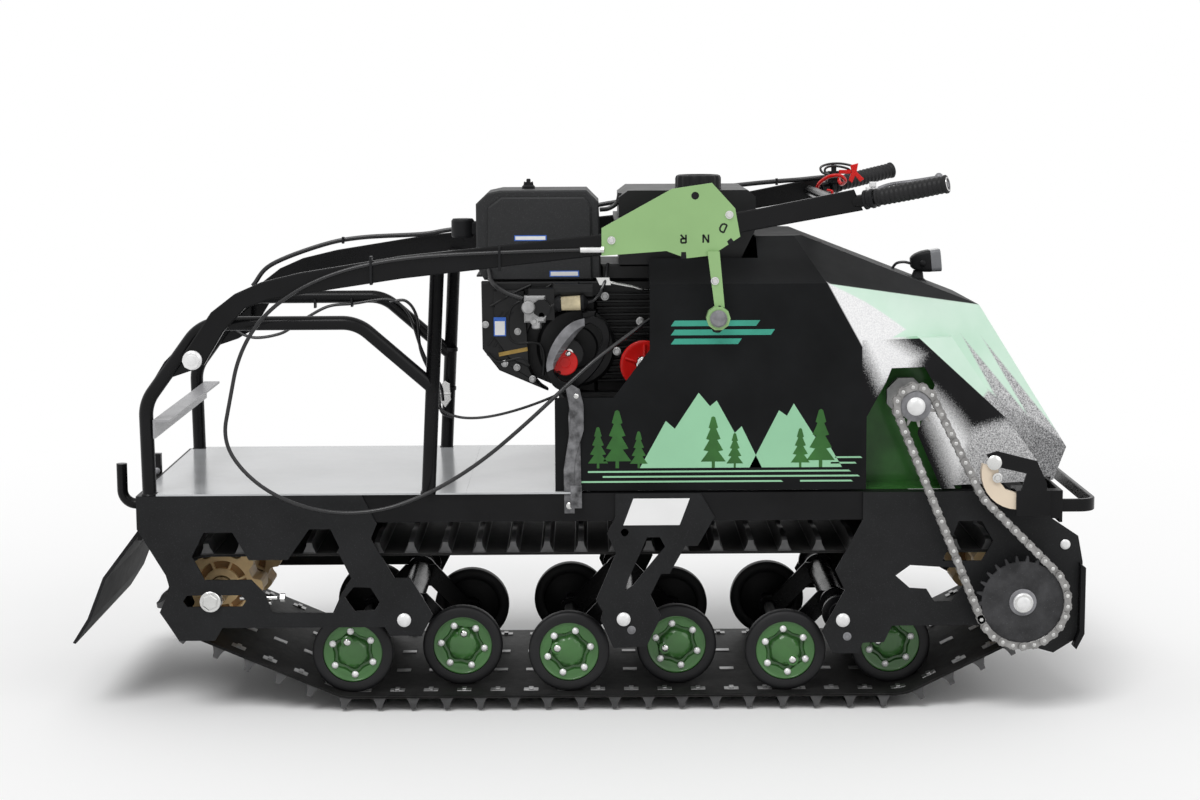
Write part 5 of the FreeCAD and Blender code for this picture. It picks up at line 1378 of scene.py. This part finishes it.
def shroud_bolts():
    """Bolts, pressed ribs, grip bars and vents on the shroud."""
    heads = [hex_bolt(x, SHROUD_FACE + 1.0, z, 4.4, 4.0) for x, z in ((-171, 680), (-195, 622), (-173, 615),
        (-145, 594), (-229, 693))]
    heads += [hex_bolt(x, -189, z, 5.2, 4) for x, z in ((49, 700), (7, 646), (-14, 745))]
    runs = [
        [(-110, 764), (-143, 744), (-176, 729), (-186, 710), (-187, 674), (-172, 659), (-135, 659),
            (-124, 637), (-126, 600)],
        [(-146, 764), (-180, 748), (-219, 726)],
        [(-226, 640), (-205, 625), (-165, 632), (-150, 618)],
    ]
    ribs = [wire([(a, SHROUD_FACE + 1.5, b) for a, b in run], 2.6, 10, steps=40) for run in runs]
    fins = [slab([(a, b), (a + 4, b), (a + 34, b + 46), (a + 30, b + 46)], -163, -159, 0.6)
        for a, b in ((-226, 655), (-216, 652), (-206, 650))]
    vents = join([slab([(-220 + 9 * k, 700), (-216 + 9 * k, 700), (-204 + 9 * k, 716),
        (-208 + 9 * k, 716)], -166.4, -165.6, 0.2) for k in range(1, 4)])
    piece("shroud_bolts", [(join(heads), "alloy"), (join(ribs), "engine_black"),
        (join(fins), "engine_black"), (vents, "black_plastic")])


def pulley_faces():
    """The red rings of both pulleys, their hubs and the drive pulley's spokes."""
    red = join([
        turned([(0, 9), (0, 22), (1.2, 23), (2, 22), (2, 19), (0.8, 17), (0.8, 10), (0, 9)],
            (-86, -188.6, 626), RIGHT_SIDE, 36),
        turned([(0, 15), (0, 42), (1.2, 43.5), (2.4, 42), (2.4, 36), (0.8, 33), (0.8, 16), (0, 15)],
            (DRIVE_PULLEY[0], -188, DRIVE_PULLEY[1]), RIGHT_SIDE, 44),
    ])
    hubs = join([
        bolt(FAN_PULLEY[0], -188, FAN_PULLEY[1], 6, 5, sides=6),
        bolt(DRIVE_PULLEY[0], -188, DRIVE_PULLEY[1], 12, 6, sides=6),
    ])
    spokes = []
    for k in range(5):
        a = 2 * math.pi * k / 5 + 0.3
        c, s = math.cos(a), math.sin(a)
        ends = [(DRIVE_PULLEY[0] + reach * c, -189.5, DRIVE_PULLEY[1] + reach * s) for reach in (14, 36)]
        spokes.append(wire(ends, 3, 8, steps=2))
    piece("pulley_faces", [(red, "red_paint"), (hubs, "bright_metal"), (join(spokes), "red_paint")])


def ring_guard():
    """An open ring before the fan pulley, with its stays and a dished crescent inside its rear edge."""
    outer = np.array([(-35, 712), (-11, 699), (-6, 664), (-29, 616), (-70, 581), (-105, 585), (-119, 623),
        (-106, 665), (-76, 699)])
    inner = np.array([(-41, 699), (-23, 685), (-21, 662), (-42, 624), (-76, 595), (-97, 600), (-107, 625),
        (-94, 655), (-66, 687)])
    outer, inner = (smooth(np.concatenate([o, o[:1]]))[:-1] for o in (outer, inner))
    guard = grid(np.stack([np.stack([o[:, 0], np.full(len(o), float(h)), o[:, 1]], 1)
        for h, o in ((-196, outer), (-212, outer), (-214, 0.85 * outer + 0.15 * inner),
        (-214, 0.15 * outer + 0.85 * inner), (-212, inner), (-196, inner))]), ring=True)
    stay = join([
        wire([(-92, -160, 612), (-100, -204, 606)], 4, 10, steps=2),
        wire([(-16, -160, 690), (-16, -204, 690)], 4, 10, steps=2),
        block(-56, -30, -206, -159, 706, 720, 3),
    ])
    left, right, hub = outer[46:70], inner[46:70], np.array((-62.0, 650.0))
    reach = (0.34 * np.sin(np.linspace(0.1, 3.0, 24)) ** 0.8)[:, None]
    band = np.stack([left, right, right + 0.6 * reach * (hub - right), right + reach * (hub - right)])
    drop = np.array([-214.5, -214.5, -209.0, -204.0])
    rows = np.stack([band[:, :, 0], np.broadcast_to(drop[:, None], band.shape[:2])
        + 1.2 * np.cos(np.arange(24) * np.pi)[None] * np.array([0, 0.4, 1, 1])[:, None], band[:, :, 1]],
        2)
    back = rows + (0.0, 3.0, 0.0)
    crescent = grid(np.concatenate([rows, back[::-1]]).transpose(1, 0, 2))
    piece("ring_guard", [(guard, "black_steel"), (stay, "black_steel"), (crescent, "ring_grey")])


def fuel_parts():
    """The carburettor, the fuel filter and their hoses."""
    carb = join([
        block(-158, -120, -206, -190, 700, 748, 3),
        turned([(0, 12), (14, 12), (16, 10), (16, 0)], (-150, -206, 728), RIGHT_SIDE, 20),
        hex_bolt(-127, -206, 714, 6, 6),
        hex_bolt(-140, -206, 703, 5, 8),
        turned([(0, 9), (10, 9), (12, 7), (12, 0)], (-136, -196, 700), (0, 0, -1), 16),
    ])
    bowl = turned([(0, 8), (2, 12), (40, 13.4), (44, 12), (46, 6)], FILTER_FOOT, FILTER_RUN, 24)
    ends = join([
        turned([(-6, 4), (-6, 10), (0, 14), (5, 14.4), (6, 13)], FILTER_FOOT, FILTER_RUN, 24),
        turned([(40, 13), (41, 14.4), (46, 14.4), (50, 9), (54, 4)], FILTER_FOOT, FILTER_RUN, 24),
    ])
    lines = join([
        wire([(-104, -200, 732), (-114, -200, 728), (-124, -204, 724)], 3, 8),
        wire([(-45, -200, 735), (-30, -196, 742), (-14, -186, 770), (-8, -150, 800)], 3, 8, steps=30),
        wire([(-160, -196, 742), (-190, -188, 752), (-214, -176, 768), (-222, -150, 790)], 4.5, 10, steps=30),
    ])
    piece("fuel_parts", [(carb, "alloy"), (bowl, "filter_bowl"), (ends, "black_plastic"),
        (lines, "cable_black")])


def throttle_rod():
    """The linkage above the carburettor."""
    rod = join([
        wire([(-18, -182, 773), (4, -184, 768), (36, -184, 762)], 2.6, 8),
        wire([(36, -184, 762), (52, -182, 757), (66, -176, 755)], 2.2, 8),
        slab([(-30, 778), (-6, 778), (-2, 764), (-24, 764)], -186, -182, 0.8),
    ])
    piece("throttle_rod", [(rod, "bright_metal")])


def breather():
    """A hose behind the cleaner, and a capped can on its lug."""
    pipe = wire([(14, -120, 926), (9, -120, 908), (-6, -122, 898), (-22, -124, 896)], 4, 10, steps=24)
    can = join([
        turned([(0, 0), (0, 19), (3, 21), (30, 21), (34, 18), (34, 0)], (-272, -80, 845), UP, 24),
        block(-264, -234, -92, -68, 849, 874, 3),
    ])
    piece("breather", [(pipe, "cable_black"), (can, "black_plastic")])


class SNOWTUG_OT_engine(bpy.types.Operator):
    """Form the engine's castings, shroud, pulleys, ring guard, carburettor, fuel filter, pipes and
    the can behind it.
    """

    bl_idname = "snowtug.engine"
    bl_label = "Engine details"

    def execute(self, context):
        engine_castings()
        shroud_bolts()
        pulley_faces()
        ring_guard()
        fuel_parts()
        throttle_rod()
        breather()
        return {"FINISHED"}


class CleanerSizes(bpy.types.PropertyGroup):
    """The air cleaner's cover."""

    panel: FloatProperty(name="Raised panel", description="How far the panel on the cover's side stands out",
        default=0.007, unit="LENGTH")


class SNOWTUG_OT_air_cleaner(bpy.types.Operator):
    """Mould the air cleaner cover with its split line, wing nut and blank labels."""

    bl_idname = "snowtug.air_cleaner"
    bl_label = "Air cleaner"

    def execute(self, context):
        sizes = context.scene.snowtug_cleaner
        low, high = corner("air_cleaner", 0), corner("air_cleaner", 1)
        x0, x1, y0, y1, z0 = float(low[0]) + 10, -24.0, float(low[1]) + 1, 18.0, float(low[2]) + 1
        top = 932.0
        shape = [(x0, z0 + 26), (x0 + 14, z0), (x1 + 4, z0), (x1, top - 22), (x1 - 22, top), (x0 + 44, top),
            (x0 + 20, top - 5), (x0, top - 24)]
        inner = [(x0 + 20, z0 - 0.5), (x1 - 12, z0 - 0.5), (x1 - 14, top - 30), (x1 - 26, top - 12),
            (x0 + 46, top - 12), (x0 + 22, top - 30)]
        body = slab(shape, y0 + sizes.panel * 1000, y1, 3.0)
        panel = slab(inner, y0, y0 + 14, 3.0)
        seam = block(x0 - 0.6, x1 + 1, y0 + 20, y1 - 8, z0 + 5, z0 + 8, 0.5)
        nut = join([
            turned([(0, 12), (5, 12), (8, 9), (8, 0)], (-152, -60, top - 1), UP, 24),
            slab([(-162, top + 2), (-160, top + 13), (-154, top + 11), (-150, top + 11), (-144, top + 13),
                (-142, top + 2)], -63, -57, 1.4),
            turned([(0, 4), (16, 4), (18, 3), (18, 0)], (-152, -60, top), UP, 16),
        ])
        piece("cleaner_cover", [(body, "cleaner_plastic"), (panel, "cleaner_plastic"), (nut, "black_plastic"),
            (seam, "black_plastic")], stands_for=("air_cleaner",))
        face = y0 - 0.2

        def tag(left, right, foot, top, y):
            """A blank white label in a blue frame; a tall one has a deeper band at its top."""
            low, high = (foot + 2, top - 7) if top - foot > 20 else (foot + 1.8, top - 1.8)
            return [(block(left, right, y - 0.35, y + 0.4, foot, top, 0.15), "label_blue"),
                (block(left + 2, right - 2, y - 0.6, y, low, high, 0.15), "label_white")]

        tags = tag(-176, -118, 842, 852, face) + tag(-113, -60, 777, 788, face) + tag(-214, -192, 672, 706,
            -166.2) + [(slab([(-206, 642), (-154, 652), (-153, 645), (-205, 635)], -166.5, -165.8, 0.15),
            "label_gold")]
        piece("blank_labels", tags)
        return {"FINISHED"}


class SNOWTUG_OT_tank_fittings(bpy.types.Operator):
    """Rib the fuel cap, and form and rivet the rubber hood straps."""

    bl_idname = "snowtug.tank_fittings"
    bl_label = "Tank fittings"

    def execute(self, context):
        low, high = corner("fuel_cap", 0), corner("fuel_cap", 1)
        cx, cy = float(low[0] + high[0]) / 2, float(low[1] + high[1]) / 2
        t = np.linspace(0, 2 * np.pi, 144, endpoint=False)
        rows = []
        for z, radius, ribs in ((932, 41, 0), (933, 42, 0), (936, 41.6, 1), (952, 41.4, 1), (956, 39.5, 0.4),
                (957.6, 36, 0), (957.8, 30, 0), (956.2, 28, 0), (956.2, 0, 0)):
            r = radius - ribs * 2.2 * np.abs(np.sin(7 * t)) ** 3
            rows.append(np.stack([cx + r * np.cos(t), cy + r * np.sin(t), np.full(len(t), float(z))], 1))
        bar = block(cx - 26, cx + 26, cy - 4, cy + 4, 955.5, 957.9, 1)
        piece("fuel_cap_ribs", [(grid(np.stack(rows)), "black_plastic"), (bar, "black_plastic")],
            stands_for=("fuel_cap",))
        rivets = join([bolt(-79, -268, 380, 6, 2.6, sides=16), bolt(-66, -268, 576, 4.5, 2, sides=16)])
        strap = slab([(-84, 588), (-74, 596), (-60, 588), (-53, 560), (-53, 516), (-66, 470), (-70, 444),
            (-70, 366), (-88, 366), (-89, 444), (-80, 500), (-76, 540), (-80, 566)], -268.5, -262.2, 1.4)
        piece("strap_rivets", [(both(rivets), "bright_metal"), (both(strap), "strap_rubber")])
        return {"FINISHED"}


# ---------------------------------------------------------------- headlamp
class LampSizes(bpy.types.PropertyGroup):
    """The headlamp."""

    lens: FloatProperty(name="Lamp lens", description="Width of the headlamp lens", default=0.036,
        unit="LENGTH")


class SNOWTUG_OT_headlamp(bpy.types.Operator):
    """Mould the headlamp's hood, ribs, bezel, lens and foot, with its lead."""

    bl_idname = "snowtug.headlamp"
    bl_label = "Headlamp"

    def execute(self, context):
        sizes = context.scene.snowtug_lamp
        half = sizes.lens * 500 + 2.4
        run = unit((1.0, 0.0, 0.10))
        foot = np.array((float(corner("headlamp", 0)[0]) + 2, 0.0, 788.0))
        rows, side = [], np.cross(UP, run)
        lift = np.cross(run, side)
        t = np.linspace(0, 2 * np.pi, 48, endpoint=False)
        square = np.sign(np.cos(t)) * np.abs(np.cos(t)) ** 0.32, np.sign(np.sin(t)) * np.abs(np.sin(t)) ** 0.32
        for along, spread in ((0, 0.0), (0, 0.42), (3, 0.58), (10, 0.78), (22, 0.95), (32, 1.0), (36, 1.0),
                (50, 1.04), (54, 1.04), (55, 0.96), (55, 0.88), (52.5, 0.86)):
            rows.append(foot + run * along + side * (square[0] * half * spread)[:, None]
                + lift * (square[1] * half * spread)[:, None])
        body, bezel = grid(np.stack(rows[:7]), caps=False), grid(np.stack(rows[6:]), caps=False)
        glass = grid(np.stack([foot + run * a + side * (square[0] * half * s)[:, None]
            + lift * (square[1] * half * s)[:, None] for a, s in ((52.4, 0.87), (53.6, 0.8), (54.4, 0.6),
            (54.8, 0.3), (54.9, 0.0))]))
        bars = join([wire([tuple(foot + run * 54.6 + side * (half * 0.8 * e) + lift * (half * q))
            for e in (-1, 1)], 0.5, 6, steps=2) for q in (-0.5, -0.25, 0.0, 0.25, 0.5)])
        base = join([
            turned([(0, 18), (2, 19), (5, 18), (9, 12), (20, 9), (22, 9)], (570, 0, 751.5), (0.12, 0, 1.0),
                28),
            bolt(578, -half + 1, 788, 6, 3.5, sides=16),
            bolt(578, half - 1, 788, 6, 3.5, (0, 1, 0), sides=16),
        ])
        lead = wire([(560, 0, 786), (546, 2, 789), (532, 5, 786), (524, 8, 774), (520, 10, 762)], 2.6, 8,
            steps=30)
        piece("headlamp_shell", [(body, "black_plastic"), (bezel, "lens_grey"), (glass, "lens_grey"),
            (bars, "lens_grey"), (base, "black_plastic"), (lead, "cable_black")], stands_for=("headlamp",))
        return {"FINISHED"}


# ---------------------------------------------------------------- bumper, towing hook and tensioner
class SNOWTUG_OT_tow_parts(bpy.types.Operator):
    """Form the bumper loop and the towing hook with its plate, latch and welds."""

    bl_idname = "snowtug.tow_parts"
    bl_label = "Towing parts"

    def execute(self, context):
        front, back_end, wide, wall = float(corner("tow_fittings", 1)[0]), 797, 240, 8.0
        outer = rounded([(back_end, wide), (front, wide), (front, -wide), (back_end, -wide)], 34, 10)
        t = np.gradient(outer, axis=0)
        t /= np.linalg.norm(t, axis=1)[:, None]
        inner = outer + np.stack([t[:, 1], -t[:, 0]], 1) * wall
        inner[0, 0] = inner[-1, 0] = back_end
        ring = np.concatenate([outer, inner[::-1]])
        loop = slab(ring, 358.5, 381.5, 1.2, axis="z")
        bolts = join([bolt(front - 1.5, s * 150, 370, 7, 1.4, (1, 0, 0), 16) for s in (-1, 1)])
        piece("bumper_loop", [(loop, "black_steel"), (bolts, "ring_grey")])
        hook = wire([(-852, 0, 340), (-926, 0, 340), (-926, 0, 417)], 10, 24, 26, steps=10)
        back = join([
            block(-851, -846.4, -60, 60, 324, 394, 1.2),
            block(-866, -851, -8, 8, 362, 436, 1.4),
            turned([(0, 14), (2, 15.5), (4, 14), (6, 10)], (-851, 0, 340), (-1, 0, 0), 24),
        ])
        heads = join([hex_bolt(-851, sy * 46, z, 6, 4.4, (-1, 0, 0)) for sy in (-1, 1) for z in (336, 382)]
            + [bolt(-858, 8, 404, 6, 3, (0, 1, 0)), bolt(-858, -8, 404, 6, 3, (0, -1, 0))])
        piece("tow_hook", [(hook, "black_steel"), (back, "black_steel"), (heads, "ring_grey")],
            stands_for=("tow_fittings",))
        return {"FINISHED"}


class SNOWTUG_OT_tensioner(bpy.types.Operator):
    """Bolt up the chain tensioner."""

    bl_idname = "snowtug.tensioner"
    bl_label = "Chain tensioner"

    def execute(self, context):
        face = float(corner("tensioner_bracket", 0)[1])
        heads = join([bolt(662, face, 463, 13, 5, sides=24), hex_bolt(668, face, 436, 6, 4)])
        piece("tensioner_bolts", [(heads, "bright_metal")])
        return {"FINISHED"}


# ---------------------------------------------------------------- artwork and blank signs
def fir(x, foot, height):
    """A fir tree's outline: a narrow stem and four tiers, each tier narrower than the one beneath."""
    left = [(x - 0.03 * height, foot), (x - 0.03 * height, foot + 0.12 * height)]
    for k in range(4):
        wide, base = 0.24 - 0.05 * k, 0.12 + 0.22 * k
        left += [(x - wide * height, foot + base * height), (x - 0.4 * wide * height,
            foot + (base + 0.2) * height)]
    left.append((x, foot + height))
    return left + [(2 * x - a, b) for a, b in left[-2::-1]]


HOOD_Y = -262.0


class ArtSizes(bpy.types.PropertyGroup):
    """The printed film on the hood."""

    film: FloatProperty(name="Film", description="Thickness of the printed film", default=0.0004,
        unit="LENGTH")


class SNOWTUG_OT_artwork(bpy.types.Operator):
    """Lay a plain mountain and fir design and three bars on the hood, and a blank sign on the middle plate."""

    bl_idname = "snowtug.artwork"
    bl_label = "Artwork and signs"

    def execute(self, context):
        sizes = context.scene.snowtug_art
        film = sizes.film * 1000
        y = HOOD_Y

        def sheet(points, lift=1.0):
            """A film on the hood's flank, as thick as the lift says."""
            return slab(points, y - film * lift, y + 0.6, 0)

        trees = [fir(*tree) for tree in ((-28, 446, 74), (6, 446, 104), (44, 446, 66), (176, 446, 92),
            (214, 446, 62), (330, 446, 70), (366, 446, 104))]
        hills = [
            [(46, 446), (92, 530), (108, 516), (150, 580), (170, 556), (182, 566), (214, 508), (226, 520),
                (262, 446)],
            [(240, 446), (292, 548), (306, 538), (318, 560), (356, 500), (368, 508), (404, 446)],
        ]
        stripes = [
            [(-46, 438), (420, 438), (416, 441), (-46, 441)],
            [(-20, 429), (436, 429), (432, 432), (-20, 432)],
            [(-60, 420), (300, 420), (296, 423), (-60, 423)],
            [(330, 420), (424, 420), (420, 423), (330, 423)],
            [(392, 462), (440, 462), (437, 465), (392, 465)],
            [(384, 452), (430, 452), (427, 455), (384, 455)],
        ]
        piece("artwork", [(join([sheet(p) for p in hills + stripes]), "art_green"),
            (join([sheet(p, 1.7) for p in trees]), "deep_green")])
        bars = [sheet([(a, b), (a + wide, b), (a + wide + 7, b + 10), (a + 7, b + 10)])
            for a, b, wide in ((101, 698, 150), (101, 682, 176), (101, 666, 118))]
        piece("hood_bars", [(join(bars), "art_teal")])
        face = float(corner("side_plates_middle", 0)[1])
        blank = slab([(16, 345), (34, 393), (134, 393), (116, 345)], face - 0.8, face + 0.2, 0.3)
        piece("blank_sign", [(blank, "label_white")])
        return {"FINISHED"}


# ---------------------------------------------------------------- panel, registration and making
class SNOWTUG_PT_panel(bpy.types.Panel):
    """Snow tug tools."""

    bl_idname = "SNOWTUG_PT_panel"
    bl_label = "Snow tug"
    bl_space_type = "VIEW_3D"
    bl_region_type = "UI"
    bl_category = "Snow tug"

    def draw(self, context):
        for name, _ in SIZES:
            sizes = getattr(context.scene, name)
            for key in sizes.bl_rna.properties.keys():
                if key not in ("rna_type", "name"):
                    self.layout.prop(sizes, key)
        for name, _ in STEPS:
            self.layout.operator("snowtug." + name)


SIZES = [
    ("snowtug_stage", StageSizes),
    ("snowtug_cable", CableSizes),
    ("snowtug_track", TrackSizes),
    ("snowtug_rollers", RollerSizes),
    ("snowtug_chain", ChainSizes),
    ("snowtug_sprockets", SprocketSizes),
    ("snowtug_grips", GripSizes),
    ("snowtug_cleaner", CleanerSizes),
    ("snowtug_lamp", LampSizes),
    ("snowtug_art", ArtSizes),
]
STEPS = [
    ("stage", SNOWTUG_OT_stage),
    ("cable", SNOWTUG_OT_cable),
    ("frame_finishes", SNOWTUG_OT_frame_finishes),
    ("track", SNOWTUG_OT_track),
    ("rollers", SNOWTUG_OT_rollers),
    ("chain", SNOWTUG_OT_chain),
    ("plate_fittings", SNOWTUG_OT_plate_fittings),
    ("rack", SNOWTUG_OT_rack),
    ("bogies", SNOWTUG_OT_bogies),
    ("sprockets", SNOWTUG_OT_sprockets),
    ("grips", SNOWTUG_OT_grips),
    ("hand_controls", SNOWTUG_OT_hand_controls),
    ("selector", SNOWTUG_OT_selector),
    ("engine", SNOWTUG_OT_engine),
    ("air_cleaner", SNOWTUG_OT_air_cleaner),
    ("tank_fittings", SNOWTUG_OT_tank_fittings),
    ("headlamp", SNOWTUG_OT_headlamp),
    ("tow_parts", SNOWTUG_OT_tow_parts),
    ("tensioner", SNOWTUG_OT_tensioner),
    ("artwork", SNOWTUG_OT_artwork),
]
CLASSES = [made for _, made in SIZES] + [made for _, made in STEPS] + [SNOWTUG_PT_panel]


def register():
    for made in CLASSES:
        bpy.utils.register_class(made)
    for name, made in SIZES:
        setattr(bpy.types.Scene, name, bpy.props.PointerProperty(type=made))


def unregister():
    for name, _ in SIZES:
        delattr(bpy.types.Scene, name)
    for made in reversed(CLASSES):
        bpy.utils.unregister_class(made)


def main():
    register()
    make_finishes()
    for name, _ in STEPS:
        getattr(bpy.ops.snowtug, name)()


if __name__ == "__main__":
    main()
